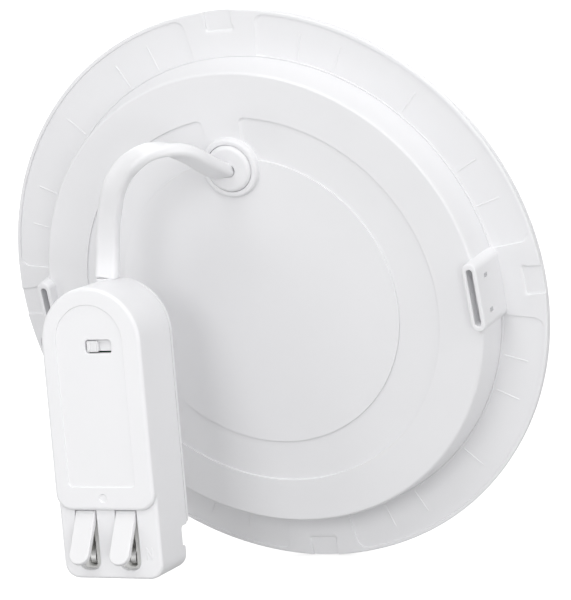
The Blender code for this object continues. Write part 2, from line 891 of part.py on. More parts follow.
def held_cord():
    """The stretch of lead inside the bushing, and the crimped stop behind it."""
    start = bushing_level - 3 * seat_gap
    end = board_front_level + 2 * seat_gap
    outline = moved(flat_section(), 0, gland_height)
    inner = place(prism_body(outline, start, end), "panel_cord_end", white_cord)
    stop_back = inside_level + seat_gap + bushing_flange_thickness + seat_gap
    gap = 2 * seat_gap
    outer = moved(flat_section(gap + 2 * cord_stop_wall), 0, gland_height)
    hole = moved(flat_section(gap), 0, gland_height)
    ring = bmesh.new()
    add_frame(ring, outer, hole, stop_back, board_front_level - seat_gap)
    stop = place(ring, "cord_stop", black_plastic)
    return inner, stop


def panel_wires():
    """Two thin wires from the lead's end to the board connector."""
    start = board_front_level + 3 * seat_gap + wire_radius
    level = board_front_level + seat_gap + connector_depth / 2
    top = connector_level() + connector_height / 2
    for side, mark in ((-1, "left"), (1, "right")):
        x = side * wire_spacing / 2
        route = [(x, start, gland_height)]
        route += [(x, start + wire_radius, gland_height - 2 * wire_radius)]
        route += [(x, (start + wire_radius + level) / 2, (gland_height + top) / 2)]
        route += [(x, level, top + 2 * wire_radius)]
        route += [(x, level, top - connector_height / 6)]
        wire_object("panel_wire_" + mark, smooth_run(route, 10), wire_radius, red_wire)


def driver_frame():
    """Empty that carries the whole driver: X right, Z up its length, -Y to its front."""
    guide = bpy.data.objects.new("driver_frame", None)
    bpy.context.scene.collection.objects.link(guide)
    guide.location = driver_place
    guide.rotation_mode = "XYZ"
    guide.rotation_euler = (radians(driver_lean), radians(driver_roll), radians(driver_turn))
    return guide


def lever_places():
    """Centres of the two levers across the driver, with their names."""
    return ((lever_shift - lever_pitch / 2, "left"), (lever_shift + lever_pitch / 2, "right"))


def wire_entry_level():
    """Depth of the wire entries, half way between pocket floor and insert front."""
    return (pocket_floor + insert_front()) / 2


def insert_front():
    """Depth of the insert's front, just behind a pressed lever's cam."""
    return lever_level() - cam_offset - seat_gap


def window_height_place():
    """Height of the switch window's middle above the driver's foot."""
    return driver_length - window_drop


def lever_level():
    """Depth of the levers' pivots from the driver's back."""
    return driver_depth - cover_step - lever_pivot_inset


def driver_shell(frame):
    """Front moulding of the driver: arched box, raised cover area and all openings."""
    face = driver_depth - cover_step
    lower = bmesh.new()
    outline = arched(driver_width, 0, driver_length, foot_corner)
    front, back = add_prism(lower, outline, -face, 0)
    round_rim(lower, front, front_round)
    body = place(lower, "driver_shell", white_driver, frame)

    raised = bmesh.new()
    outline = arched(driver_width, cover_bottom, driver_length, cover_corner)
    front, back = add_prism(raised, outline, -driver_depth, -driver_depth / 2)
    round_rim(raised, front, front_round)
    combine(body, place(raised, "cover_blank", white_driver, frame), "UNION")

    combine(body, place(back_profile(), "back_profile", white_driver, frame), "DIFFERENCE")
    room = driver_width - 2 * driver_wall
    inner_top = driver_length - driver_wall
    corner = foot_corner - driver_wall
    deep = bmesh.new()
    upper = arched(room, back_split + floor_wall, inner_top, corner / 2)
    add_prism(deep, upper, -face + driver_wall, cut_overrun)
    combine(body, place(deep, "upper_room", white_driver, frame), "DIFFERENCE")
    lower_room = bmesh.new()
    half = room / 2 - seat_gap / 3
    rear = groove_depth + floor_wall
    low = rounded_box(-half, half, driver_wall, cover_bottom + floor_wall, corner)
    add_prism(lower_room, low, -face + driver_wall + seat_gap / 3, -rear)
    combine(body, place(lower_room, "lower_room", white_driver, frame), "DIFFERENCE")
    cover_room = bmesh.new()
    top = arched(room - seat_gap, cover_bottom + 2 * driver_wall, inner_top - seat_gap, corner)
    add_prism(cover_room, top, -driver_depth + driver_wall + seat_gap / 2, -face / 2)
    combine(body, place(cover_room, "cover_room", white_driver, frame), "DIFFERENCE")

    combine(body, place(front_cuts(), "front_cuts", white_driver, frame), "DIFFERENCE")
    combine(body, place(bearing_cuts(), "bearing_cuts", white_driver, frame), "DIFFERENCE")
    combine(body, place(end_cuts(), "end_cuts", white_driver, frame), "DIFFERENCE")
    return body


def back_profile():
    """Side profile of what is missing behind the shell: split line, groove and foot."""
    beyond = -cut_overrun
    split = back_plate + seat_gap
    foot = arc(
        (foot_back_depth + foot_back_round, foot_back_round), foot_back_round, 270, 180, 4
    )
    outline = [(beyond, beyond)]
    outline += [(foot_back_depth + foot_back_round, beyond)]
    outline += foot
    outline += [(foot_back_depth, groove_bottom - groove_round)]
    outline += [(groove_depth - groove_round, groove_bottom)]
    outline += [(groove_depth, groove_bottom + groove_round)]
    outline += [(groove_depth, back_split - 2 * groove_round)]
    outline += [(groove_depth - 2 * groove_round, back_split)]
    outline += [(split, back_split)]
    outline += [(split, driver_length - beyond)]
    outline += [(beyond, driver_length - beyond)]
    behind = [(-depth, height) for depth, height in outline]
    half = driver_width / 2 + cut_overrun
    return prism_body(behind, -half, half, "X")


def front_cuts():
    """Label recess, switch window, dimple and lever slots in the driver's front."""
    cuts = bmesh.new()
    beyond = -driver_depth - cut_overrun
    low = cover_bottom + label_foot_margin
    high = driver_length - label_top_margin
    label = arched(label_width, low, high, label_corner, label_shift)
    add_prism(cuts, label, beyond, -driver_depth + label_depth)
    dimple = round_outline((dimple_shift, cover_bottom + dimple_rise), dimple_radius, 12)
    add_prism(cuts, dimple, beyond, -driver_depth + dimple_depth)
    half = lever_width / 2 + slot_clearance
    face = driver_depth - cover_step
    for x, mark in lever_places():
        corner = slot_corner
        outline = arc((x + half - corner, slot_bottom + corner), corner, -90, 0, corner_steps)
        outline += [(x + half, cover_bottom - seat_gap / 3), (x - half, cover_bottom - seat_gap / 3)]
        outline += arc((x - half + corner, slot_bottom + corner), corner, 180, 270, corner_steps)
        add_prism(cuts, outline, -face - cover_step / 2, -face + driver_wall + cut_overrun)
    return cuts


def bearing_cuts():
    """Pockets under the front wall that hold the levers' pins, and the switch window."""
    cuts = bmesh.new()
    half = lever_width / 2 + lever_pin_reach + seat_gap
    top = lever_level() + lever_pin_radius + seat_gap
    for x, mark in lever_places():
        size = (2 * half, cut_overrun * 2, 2 * (lever_barrel_radius + seat_gap))
        add_block(cuts, size, (x, -top + cut_overrun, lever_pivot_height))
    x = window_shift
    wide = window_width / 2
    high = window_height / 2
    low = window_height_place() - high
    window = rounded_box(x - wide, x + wide, low, low + 2 * high, window_corner, 3)
    add_prism(cuts, window, -driver_depth - cut_overrun, -driver_depth + 2 * driver_wall)
    return cuts


def end_cuts():
    """The lead's notch in the top wall and the wire entries in the foot."""
    cuts = bmesh.new()
    gap = 2 * cord_hole_clearance
    across = moved(flat_section(gap), driver_gland_offset, -driver_gland_depth)
    top = driver_length + cut_overrun
    add_prism(cuts, across, driver_length - 3 * driver_wall, top, "Z")
    for x, mark in lever_places():
        ring = round_outline((x, -wire_entry_level()), wire_entry_radius, 16)
        add_prism(cuts, ring, -cut_overrun, driver_wall + cut_overrun, "Z")
    return cuts


def driver_back(frame):
    """Flat back cover with a lip that enters the shell and posts for the circuit board."""
    plate = bmesh.new()
    outline = arched(driver_width, back_split + seat_gap, driver_length, foot_corner / 4)
    front, back = add_prism(plate, outline, -back_plate, 0)
    round_rim(plate, back, back_plate / 4, 2)
    body = place(plate, "driver_back", white_driver, frame)
    room = driver_width - 2 * driver_wall - 2 * seat_gap
    low = back_split + floor_wall + seat_gap
    high = driver_length - driver_wall - seat_gap
    outer = arched(room, low, high, foot_corner / 4)
    wall = driver_wall * lip_wall_share
    inner = arched(room - 2 * wall, low + wall, high - wall, foot_corner / 4)
    lip = bmesh.new()
    add_frame(lip, outer, inner, -back_plate - 2 * driver_wall, -back_plate / 2)
    combine(body, place(lip, "back_lip", white_driver, frame), "UNION")
    posts = bmesh.new()
    out = circuit_half_width - 3 * circuit_post_radius
    lowest = cover_bottom + circuit_foot_gap + 3 * circuit_post_radius
    for height in (lowest, driver_length - driver_width / 2):
        for side in (-1, 1):
            where = (side * out, height)
            ring = round_outline(where, circuit_post_radius, 10)
            add_prism(posts, ring, -circuit_back + seat_gap, -back_plate / 2)
    combine(body, place(posts, "back_posts", white_driver, frame), "UNION")
    cuts = bmesh.new()
    size = (cord_width + 6 * seat_gap, 4 * driver_wall, 4 * driver_wall)
    middle = (driver_gland_offset, -back_plate - 2 * driver_wall, driver_length - 2 * driver_wall)
    add_block(cuts, size, middle)
    combine(body, place(cuts, "lip_notch", white_driver, frame), "DIFFERENCE")
    return body


def driver_cord_end(frame):
    """The stretch of lead that enters the driver, and the bar that clamps it."""
    across = moved(flat_section(), driver_gland_offset, -driver_gland_depth)
    low = driver_length - 7 * driver_wall
    high = driver_length + seat_gap
    inner = place(prism_body(across, low, high, "Z"), "driver_cord_end", white_cord, frame)
    return inner


def output_wires(frame):
    """Two wires from the lead's end to the rear of the driver's circuit board."""
    top = driver_length - 7 * driver_wall - seat_gap
    for side, mark in ((-1, "left"), (1, "right")):
        x = driver_gland_offset + side * wire_spacing / 2
        route = [(x, -driver_gland_depth, top)]
        route += [(x, -driver_gland_depth, top - 3 * wire_radius)]
        route += [(x, -driver_gland_depth - wire_radius, top - 6 * wire_radius)]
        route += [(x, -circuit_back + seat_gap, top - 8 * wire_radius)]
        run = smooth_run(route, 8)
        wire_object("output_wire_" + mark, run, wire_radius, red_wire, frame)


def lever(frame, name, x):
    """One terminal lever, modelled about its pivot as it stands open."""
    reach = lever_length
    half = lever_width / 2
    outer = lever_pivot_inset - lever_face_inset
    corner = lever_tip_round
    plan = arc((half - corner, -reach + corner), corner, -90, 0, corner_steps)
    plan += [(half, 0.0), (-half, 0.0)]
    plan += arc((corner - half, -reach + corner), corner, 180, 270, corner_steps)
    arm = bmesh.new()
    front, back = add_prism(arm, plan, -outer, -outer + lever_thickness)
    round_rim(arm, front, lever_edge_round, 2)
    where = (x, -lever_level(), lever_pivot_height)
    body = place(arm, name, white_lever, frame, where)
    body.rotation_euler = (radians(-lever_open_angle), 0.0, 0.0)
    hub = bmesh.new()
    ring = round_outline((0.0, 0.0), lever_barrel_radius, 12)
    grown = half - seat_gap / 3
    add_prism(hub, ring, -grown, grown, "X")
    web = [(-outer + lever_thickness / 2, -lever_thickness)]
    web += [(-outer + lever_thickness / 2, 0.0)]
    web += [(lever_barrel_radius / 2, lever_barrel_radius / 2)]
    web += [(cam_offset, -cam_reach + cam_thickness)]
    web += [(cam_offset, -cam_reach)]
    web += [(0.0, -cam_reach)]
    tool = place(hub, name + "_hub", white_lever, body)
    combine(body, tool, "UNION")
    cam = bmesh.new()
    add_prism(cam, web, -cam_width / 2, cam_width / 2, "X")
    combine(body, place(cam, name + "_cam", white_lever, body), "UNION")
    pin = bmesh.new()
    ring = round_outline((0.0, 0.0), lever_pin_radius, 10)
    length = half + lever_pin_reach
    add_prism(pin, ring, -length, length, "X")
    combine(body, place(pin, name + "_pin", white_lever, body), "UNION")
    return body


def terminal_insert(frame):
    """Insulating block under the levers: two pockets, wire entries and pin bearings."""
    front = insert_front()
    half = driver_width / 2 - driver_wall - 2 * seat_gap
    outline = rounded_box(-half, half, insert_bottom, insert_top, foot_corner - driver_wall, 3)
    body = place(
        prism_body(outline, -front, -insert_back), "terminal_insert", cream_nylon, frame
    )
    posts = bmesh.new()
    pocket = lever_width / 2
    top = lever_level() - lever_pin_radius - seat_gap
    for centre, mark in lever_places():
        for side in (-1, 1):
            x = centre + side * (pocket + lever_pin_reach / 2)
            size = (bearing_width, top - front + driver_wall, bearing_length)
            middle = (x, -(top + front - driver_wall) / 2, lever_pivot_height)
            add_block(posts, size, middle)
    combine(body, place(posts, "bearing_posts", cream_nylon, frame), "UNION")
    cuts = bmesh.new()
    for x, mark in lever_places():
        low = rounded_box(x - pocket, x + pocket, pocket_bottom, pocket_top, block_corner, 2)
        add_prism(cuts, low, -front - cut_overrun, -pocket_floor)
    combine(body, place(cuts, "pockets", cream_nylon, frame), "DIFFERENCE")
    entries = bmesh.new()
    for x, mark in lever_places():
        ring = round_outline((x, -wire_entry_level()), wire_entry_radius, 16)
        add_prism(entries, ring, insert_bottom - cut_overrun, pocket_bottom + cut_overrun, "Z")
    combine(body, place(entries, "insert_entries", cream_nylon, frame), "DIFFERENCE")
    return body


def thick_line(points, thickness):
    """A strip's closed outline on both sides of a line of points."""
    left = []
    right = []
    for i, (a, b) in enumerate(points):
        before = points[max(i - 1, 0)]
        after = points[min(i + 1, len(points) - 1)]
        turn = atan2(after[1] - before[1], after[0] - before[0]) + pi / 2
        left.append((a + thickness / 2 * cos(turn), b + thickness / 2 * sin(turn)))
        right.append((a - thickness / 2 * cos(turn), b - thickness / 2 * sin(turn)))
    return left + right[::-1]


def terminal_metal(frame, mark, x):
    """Busbar on the pocket floor and the leaf spring that presses a wire on it."""
    floor = pocket_floor + seat_gap
    wide = busbar_width / 2
    high = pocket_top - 2 * seat_gap
    low = pocket_bottom + 2 * seat_gap
    thick = busbar_thickness
    lip = 2 * thick
    bar = [(-floor, low), (-floor, high), (-floor - lip, high), (-floor - lip, high - thick)]
    bar += [(-floor - thick, high - thick), (-floor - thick, low)]
    bus = bmesh.new()
    add_prism(bus, bar, x - wide, x + wide, "X")
    busbar = place(bus, "busbar_" + mark, brass, frame)
    bend = (insert_front() - floor - lip) / 2 - seat_gap
    crown = floor + lip + seat_gap + spring_thickness / 2
    centre = (-crown - bend, high - thick - bend)
    line = arc(centre, bend, 0, 180, 8)
    start = (centre[0] + bend, centre[1] - bend / 2)
    end = (-floor - thick - seat_gap - spring_thickness, low + lip)
    middle = (centre[0] - bend, centre[1] - bend)
    leaf = bmesh.new()
    outline = thick_line([start, *line, middle, end], spring_thickness)
    add_prism(leaf, outline, x - spring_width / 2, x + spring_width / 2, "X")
    spring = place(leaf, "clamp_spring_" + mark, spring_steel, frame)
    return busbar, spring


def input_wires(frame):
    """Two wires from the busbars' lips, over the insert, to the circuit board."""
    start = pocket_floor + seat_gap + 2 * busbar_thickness + seat_gap
    over = insert_front() + 3 * wire_radius
    end = circuit_face + seat_gap
    low = pocket_top - 2 * seat_gap - busbar_thickness / 2
    landing = circuit_foot + 3 * wire_radius
    aside = cam_width / 2 + wire_radius + input_wire_gap
    for centre, mark in lever_places():
        x = centre + aside
        route = [(x, -start, low)]
        route += [(x, -start - 2 * wire_radius, low)]
        route += [(x, -over + wire_radius, low)]
        route += [(x, -over, pocket_top)]
        route += [(x, -over, (pocket_top + insert_top) / 2)]
        route += [(x, -over, insert_top)]
        route += [(x, -(over + end) / 2, circuit_foot + wire_radius)]
        route += [(x, -end - 2 * wire_radius, landing)]
        route += [(x, -end, landing)]
        run = smooth_run(route, 16)
        wire_object("input_wire_" + mark, run, wire_radius, red_wire, frame)


def circuit_board(frame):
    """Driver's circuit board, arched at its top like the shell."""
    outline = arched(2 * circuit_half_width, circuit_foot, circuit_top, block_corner)
    board = prism_body(outline, -circuit_face, -circuit_back)
    return place(board, "driver_board", green_board, frame)


def board_block(frame, name, surface, size, left, low):
    """A rectangular part on the circuit board, given its lower left corner."""
    wide, high, deep = size
    level = circuit_face + seat_gap
    outline = rounded_box(left, left + wide, low, low + high, block_corner, 2)
    body = bmesh.new()
    front, back = add_prism(body, outline, -level - deep, -level)
    round_rim(body, front, block_corner / 2, 1)
    return place(body, name, surface, frame)


def board_can(frame, name, surface, radius, deep, centre):
    """A round can on the circuit board, with the groove above its foot."""
    level = circuit_face + seat_gap
    edge = radius * can_groove_share
    profile = [(0.0, -level)]
    profile += [(radius - edge, -level)]
    profile += [(radius, -level - edge)]
    profile += [(radius, -level - 2 * edge)]
    profile += [(radius - edge / 2, -level - 3 * edge)]
    profile += [(radius, -level - 4 * edge)]
    profile += [(radius, -level - deep + edge)]
    profile += [(radius - edge, -level - deep)]
    profile += [(0.0, -level - deep)]
    return place(turned_body(profile, centre, 16), name, surface, frame)


def circuit_parts(frame):
    """What stands on the circuit board's front, in rows from the foot up."""
    left = part_gap - circuit_half_width
    right = -left
    low = first_row
    board_block(frame, "film_capacitor", film_yellow, film_capacitor_size, left, low)
    radius = input_capacitor_radius
    centre = (right - radius, low + radius)
    board_can(frame, "input_capacitor", sleeve_blue, radius, tall_depth, centre)
    over = low + 2 * radius + part_gap
    board_block(frame, "driver_chip", black_plastic, chip_size, right - chip_size[0], over)
    free_left = left + film_capacitor_size[0]
    free_right = right - 2 * radius
    middle = (free_left + free_right) / 2
    start = middle - bridge_size[0] / 2
    board_block(frame, "bridge_rectifier", black_plastic, bridge_size, start, low)
    level = circuit_face + seat_gap
    ring = round_outline((middle, -level - fuse_radius), fuse_radius, 12)
    over = low + bridge_size[1] + part_gap
    place(prism_body(ring, over, over + fuse_length, "Z"), "fuse", cream_nylon, frame)
    radius = output_capacitor_radius
    centre = (left + radius, third_row + radius)
    board_can(frame, "output_capacitor", sleeve_blue, radius, tall_depth, centre)
    centre = (left + 2 * radius + part_gap + choke_radius, third_row + choke_radius)
    board_can(frame, "choke", dark_ferrite, choke_radius, choke_height, centre)


def transformer(frame):
    """Ferrite frame round a taped winding."""
    level = circuit_face + seat_gap
    z = second_row + core_height / 2
    half = core_width / 2
    rise = core_height / 2
    outer = rounded_box(-half, half, z - rise, z + rise, block_corner, 2)
    inner_half = half - core_leg
    inner_rise = rise - core_leg
    hole = rounded_box(-inner_half, inner_half, z - inner_rise, z + inner_rise, block_corner, 2)
    middle = level + winding_depth / 2
    core = bmesh.new()
    add_frame(core, outer, hole, -middle - core_depth / 2, -middle + core_depth / 2)
    place(core, "transformer_core", dark_ferrite, frame)
    wide = inner_half - seat_gap
    high = inner_rise - seat_gap
    outline = rounded_box(-wide, wide, z - high, z + high, 2 * block_corner, 3)
    winding = bmesh.new()
    front, back = add_prism(winding, outline, -level - winding_depth, -level)
    round_rim(winding, front, block_corner, 2)
    place(winding, "transformer_winding", winding_tape, frame)


def colour_switch(frame):
    """Slide switch on the board, its post, and the knob that shows in the window."""
    level = circuit_face + seat_gap
    x = window_shift
    z = window_height_place()
    half = switch_body_width / 2
    high = switch_body_height / 2
    slot_half = switch_travel / 2 + switch_post_side / 2 + seat_gap
    slot_high = switch_post_side / 2 + seat_gap
    outer = rounded_box(x - half, x + half, z - high, z + high, switch_fork / 2, 2)
    inner = rounded_box(x - slot_half, x + slot_half, z - slot_high, z + slot_high, seat_gap, 2)
    can = bmesh.new()
    add_frame(can, outer, inner, -level - switch_body_depth, -level)
    place(can, "switch_body", zinc_steel, frame)

    knob_x = x - switch_travel / 2
    inside = driver_depth - driver_wall - seat_gap / 2
    plate_front = inside - seat_gap
    plate_back = plate_front - switch_plate_thickness
    where = (knob_x, -plate_back, z)
    top = driver_depth - switch_knob_inset
    wide = switch_knob_width / 2
    tall = switch_knob_height / 2
    knob = bmesh.new()
    outline = rounded_box(-wide, wide, -tall, tall, window_corner * knob_corner_share, 3)
    front, back = add_prism(knob, outline, plate_back - top, -switch_plate_thickness / 2)
    round_rim(knob, front, lever_edge_round, 2)
    body = place(knob, "cct_slider", white_lever, frame, where)
    plate = bmesh.new()
    left = -wide - slot_clearance
    low = -switch_plate_height / 2
    outline = rounded_box(left, left + switch_plate_length, low, -low, switch_fork / 2, 2)
    add_prism(plate, outline, -switch_plate_thickness, 0)
    fork = switch_post_side / 2 + seat_gap
    combine(body, place(plate, "slider_plate", white_lever, body), "UNION")
    prongs = bmesh.new()
    for side in (-1, 1):
        size = (switch_fork, 2 * switch_fork_reach, switch_post_side)
        add_block(prongs, size, (side * (fork + switch_fork / 2), switch_plate_thickness / 2, 0))
    combine(body, place(prongs, "slider_fork", white_lever, body), "UNION")

    post = bmesh.new()
    low = level + seat_gap
    high = plate_back - seat_gap
    size = (switch_post_side, high - low, switch_post_side)
    add_block(post, size, (0, plate_back - (high + low) / 2, 0))
    place(post, "switch_post", black_plastic, frame, where)


# The free stretch of the lead, from the gland round and down to the driver's top
cord_route = (
    (-0.0003, -0.0136, 0.0414),
    (-0.0003, -0.0175, 0.0419),
    (-0.0005, -0.0214, 0.0436),
    (-0.0013, -0.0254, 0.0469),
    (-0.0038, -0.0290, 0.0513),
    (-0.0084, -0.0322, 0.0541),
    (-0.0140, -0.0349, 0.0537),
    (-0.0197, -0.0361, 0.0502),
    (-0.0248, -0.0353, 0.0441),
    (-0.0286, -0.0339, 0.0371),
    (-0.0311, -0.0330, 0.0302),
    (-0.0327, -0.0328, 0.0240),
    (-0.0336, -0.0338, 0.0184),
)
cord_points = 28


def free_cord():
    """The lead where it hangs free between the gland and the driver."""
    run = smooth_run(cord_route, cord_points)
    return wire_object("flat_cord", run, cord_tube_radius, white_cord, None, 3)


def build():
    """Make the panel first and then the driver that hangs behind it."""
    empty_scene()
    rear_housing()
    gland_bushing()
    front_trim()
    diffuser()
    led_board()
    reflector()
    board_screws()
    board_connector()
    held_cord()
    panel_wires()
    frame = driver_frame()
    driver_shell(frame)
    driver_back(frame)
    driver_cord_end(frame)
    output_wires(frame)
    for across, mark in lever_places():
        lever(frame, "lever_" + mark, across)
        terminal_metal(frame, mark, across)
    terminal_insert(frame)
    input_wires(frame)
    circuit_board(frame)
    circuit_parts(frame)
    transformer(frame)
    colour_switch(frame)
    free_cord()
    bpy.context.view_layer.update()


build()
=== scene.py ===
from math import asin, atan2, cos, degrees, pi, radians, sin

import bmesh
import bpy
import numpy as np
from mathutils import Matrix, Vector
from mathutils.geometry import delaunay_2d_cdt


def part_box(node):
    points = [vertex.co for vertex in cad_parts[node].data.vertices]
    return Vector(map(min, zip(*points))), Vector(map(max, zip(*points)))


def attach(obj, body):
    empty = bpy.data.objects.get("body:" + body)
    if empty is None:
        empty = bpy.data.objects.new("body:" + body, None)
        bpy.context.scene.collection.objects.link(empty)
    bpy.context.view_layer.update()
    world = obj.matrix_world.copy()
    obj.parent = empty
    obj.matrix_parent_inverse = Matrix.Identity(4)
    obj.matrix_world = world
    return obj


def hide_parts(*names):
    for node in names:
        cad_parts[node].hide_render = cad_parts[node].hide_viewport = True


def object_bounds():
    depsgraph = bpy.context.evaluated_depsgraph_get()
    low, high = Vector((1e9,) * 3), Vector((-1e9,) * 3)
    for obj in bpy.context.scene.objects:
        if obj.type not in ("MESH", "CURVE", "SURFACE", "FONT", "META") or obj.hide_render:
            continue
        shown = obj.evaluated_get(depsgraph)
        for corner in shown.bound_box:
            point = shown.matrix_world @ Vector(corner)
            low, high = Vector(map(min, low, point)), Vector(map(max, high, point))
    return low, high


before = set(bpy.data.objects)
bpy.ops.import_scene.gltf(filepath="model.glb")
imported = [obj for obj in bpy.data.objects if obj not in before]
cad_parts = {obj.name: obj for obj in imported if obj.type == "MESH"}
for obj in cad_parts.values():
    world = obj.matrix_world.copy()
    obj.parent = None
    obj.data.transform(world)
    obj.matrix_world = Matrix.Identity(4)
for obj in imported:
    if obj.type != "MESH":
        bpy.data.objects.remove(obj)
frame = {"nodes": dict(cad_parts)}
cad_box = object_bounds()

scene = bpy.context.scene
scene.view_settings.view_transform = "Standard"

# Camera. It looks down on the panel's rear from the right, with the panel turned
# a little to the left in the picture, as a long lens sees it from under a metre.
eye = Vector((0.39089, -0.72441, 0.25714))
to_right = Vector((0.89258, 0.40920, -0.18937))
to_top = Vector((0.03565, 0.35462, 0.93433))
away = Vector((0.44948, -0.84072, 0.30193))
lens = bpy.data.cameras.new("camera")
lens.sensor_width = 36.0
lens.lens = 176.9
lens.clip_start = 0.01
camera = bpy.data.objects.new("camera", lens)
turned = Matrix((to_right, to_top, away)).transposed().to_4x4()
camera.matrix_world = Matrix.Translation(eye) @ turned
scene.collection.objects.link(camera)
scene.camera = camera

# Light. A pale room gives half of it; large soft lamps stand in an arc before the
# panel's rear and above it, with two behind. The camera sees the room as plain white.
lamp_distance = 1.3
lamp_size = 0.55
for turn, rise, power in (
    (0, 30, 3.4),
    (0, 60, 3.0),
    (0, 88, 2.1),
    (40, 0, 2.25),
    (40, 30, 1.5),
    (80, 0, 1.6),
    (80, 30, 1.9),
    (-40, 0, 1.6),
    (160, 30, 5.0),
    (-140, 30, 5.0),
):
    lamp = bpy.data.lights.new(f"soft_lamp_{turn}_{rise}", "AREA")
    lamp.shape = "DISK"
    lamp.size = lamp_size
    lamp.energy = power
    level = cos(radians(rise))
    place = Vector((sin(radians(turn)) * level, -cos(radians(turn)) * level, sin(radians(rise))))
    holder = bpy.data.objects.new(lamp.name, lamp)
    holder.location = place * lamp_distance
    holder.rotation_euler = (-place).to_track_quat("-Z", "Y").to_euler()
    scene.collection.objects.link(holder)
room = bpy.data.worlds.new("pale_room")
room.use_nodes = True
scene.world = room
air = room.node_tree
sky = air.nodes["Background"]
plain = air.nodes.new("ShaderNodeBackground")
for shade, strength in ((sky, 0.5), (plain, 1.0)):
    shade.inputs["Color"].default_value = (1.0, 1.0, 1.0, 1.0)
    shade.inputs["Strength"].default_value = strength
ray = air.nodes.new("ShaderNodeLightPath")
which = air.nodes.new("ShaderNodeMixShader")
air.links.new(ray.outputs["Is Camera Ray"], which.inputs["Fac"])
air.links.new(sky.outputs["Background"], which.inputs[1])
air.links.new(plain.outputs["Background"], which.inputs[2])
air.links.new(which.outputs["Shader"], air.nodes["World Output"].inputs["Surface"])

# Floor. A white sheet under the panel's lowest edge: it takes the soft shadow near
# the part and goes over into the plain white of the room further out.
floor_mesh = bpy.data.meshes.new("floor")
reach = 3.0
floor_gap = 0.0004
drop = cad_box[0][2] - floor_gap
floor_mesh.from_pydata(
    [(-reach, -reach, drop), (reach, -reach, drop), (reach, reach, drop), (-reach, reach, drop)],
    [],
    [(0, 1, 2, 3)],
)
floor = bpy.data.objects.new("floor", floor_mesh)
scene.collection.objects.link(floor)
sheet = bpy.data.materials.new("white_sheet")
sheet.use_nodes = True
paper = sheet.node_tree
cover = paper.nodes["Principled BSDF"]
cover.inputs["Base Color"].default_value = (0.45, 0.45, 0.45, 1.0)
cover.inputs["Roughness"].default_value = 0.9
where = paper.nodes.new("ShaderNodeTexCoord")
far = paper.nodes.new("ShaderNodeVectorMath")
far.operation = "LENGTH"
fade = paper.nodes.new("ShaderNodeMapRange")
for limit, value in (("From Min", 0.10), ("From Max", 0.60), ("To Min", 0.72), ("To Max", 1.0)):
    fade.inputs[limit].default_value = value
seen = paper.nodes.new("ShaderNodeLightPath")
glow = paper.nodes.new("ShaderNodeMath")
glow.operation = "MULTIPLY"
paper.links.new(where.outputs["Object"], far.inputs[0])
paper.links.new(far.outputs["Value"], fade.inputs["Value"])
paper.links.new(fade.outputs["Result"], glow.inputs[0])
paper.links.new(seen.outputs["Is Camera Ray"], glow.inputs[1])
paper.links.new(glow.outputs["Value"], cover.inputs["Emission Strength"])
cover.inputs["Emission Color"].default_value = (1.0, 1.0, 1.0, 1.0)
floor_mesh.materials.append(sheet)

# Lead. A flat white two-core lead in soft PVC: it leaves the panel's bushing with its
# broad side level, stands up in an arch, twists and goes down into the driver's top.
lead_width = 0.0069
lead_thickness = 0.0037
lead_corner = 0.00145
lead_groove = 0.00003
lead_route = [
    (-0.0016, -0.0094, 0.0397),
    (-0.0016, -0.0109, 0.0404),
    (-0.0016, -0.0124, 0.0412),
    (-0.0016, -0.0152, 0.0427),
    (-0.0017, -0.0188, 0.0448),
    (-0.0019, -0.0228, 0.0477),
    (-0.0028, -0.0266, 0.0508),
    (-0.0049, -0.0298, 0.0532),
    (-0.0079, -0.0325, 0.0546),
    (-0.0111, -0.0346, 0.0547),
    (-0.0146, -0.0357, 0.0534),
    (-0.0187, -0.0358, 0.0509),
    (-0.0221, -0.0356, 0.0476),
    (-0.0248, -0.0351, 0.0438),
    (-0.0283, -0.0339, 0.0371),
    (-0.0309, -0.0330, 0.0302),
    (-0.0325, -0.0328, 0.0240),
    (-0.0336, -0.0338, 0.0184),
]

# its twist: shares of its length, and its broad side's turn from the camera in degrees
twist_shares = [0.0, 0.04, 0.085, 0.14, 0.20, 0.26, 0.30, 0.34]
twist_shares += [0.37, 0.415, 0.465, 0.53, 0.59, 0.65, 0.84, 1.0]
twist_turns = [22, 24, 27, 36, 38, 30, 20, 2, -14, -28, -43, -60, -70, -73, -71, -68]


def smooth_run(route, count, between=24):
    """Evenly spaced points on a smooth curve through a route."""
    knots = [Vector(p) for p in route]
    knots = [2 * knots[0] - knots[1], *knots, 2 * knots[-1] - knots[-2]]
    fine = []
    for i in range(1, len(knots) - 2):
        p0, p1, p2, p3 = knots[i - 1 : i + 3]
        for k in range(between):
            t = k / between
            bend = (2 * p0 - 5 * p1 + 4 * p2 - p3) * t * t
            fine.append(0.5 * (2 * p1 + (p2 - p0) * t + bend + (3 * p1 - p0 - 3 * p2 + p3) * t**3))
    fine.append(knots[-2])
    along = [0.0]
    for a, b in zip(fine, fine[1:]):
        along.append(along[-1] + (b - a).length)
    goals = np.linspace(0.0, along[-1], count)
    return [Vector([np.interp(g, along, [p[k] for p in fine]) for k in range(3)]) for g in goals]


def node_group(name, *labels):
    """A shader node group that gives a colour, a roughness and a height."""
    group = bpy.data.node_groups.new(name, "ShaderNodeTree")
    sockets = [("INPUT", label) for label in labels]
    sockets += [("OUTPUT", label) for label in ("Colour", "Roughness", "Height")]
    for way, label in sockets:
        kind = "NodeSocketColor" if label == "Colour" else "NodeSocketFloat"
        group.interface.new_socket(label, in_out=way, socket_type=kind)
    return group, group.nodes.new("NodeGroupInput"), group.nodes.new("NodeGroupOutput")


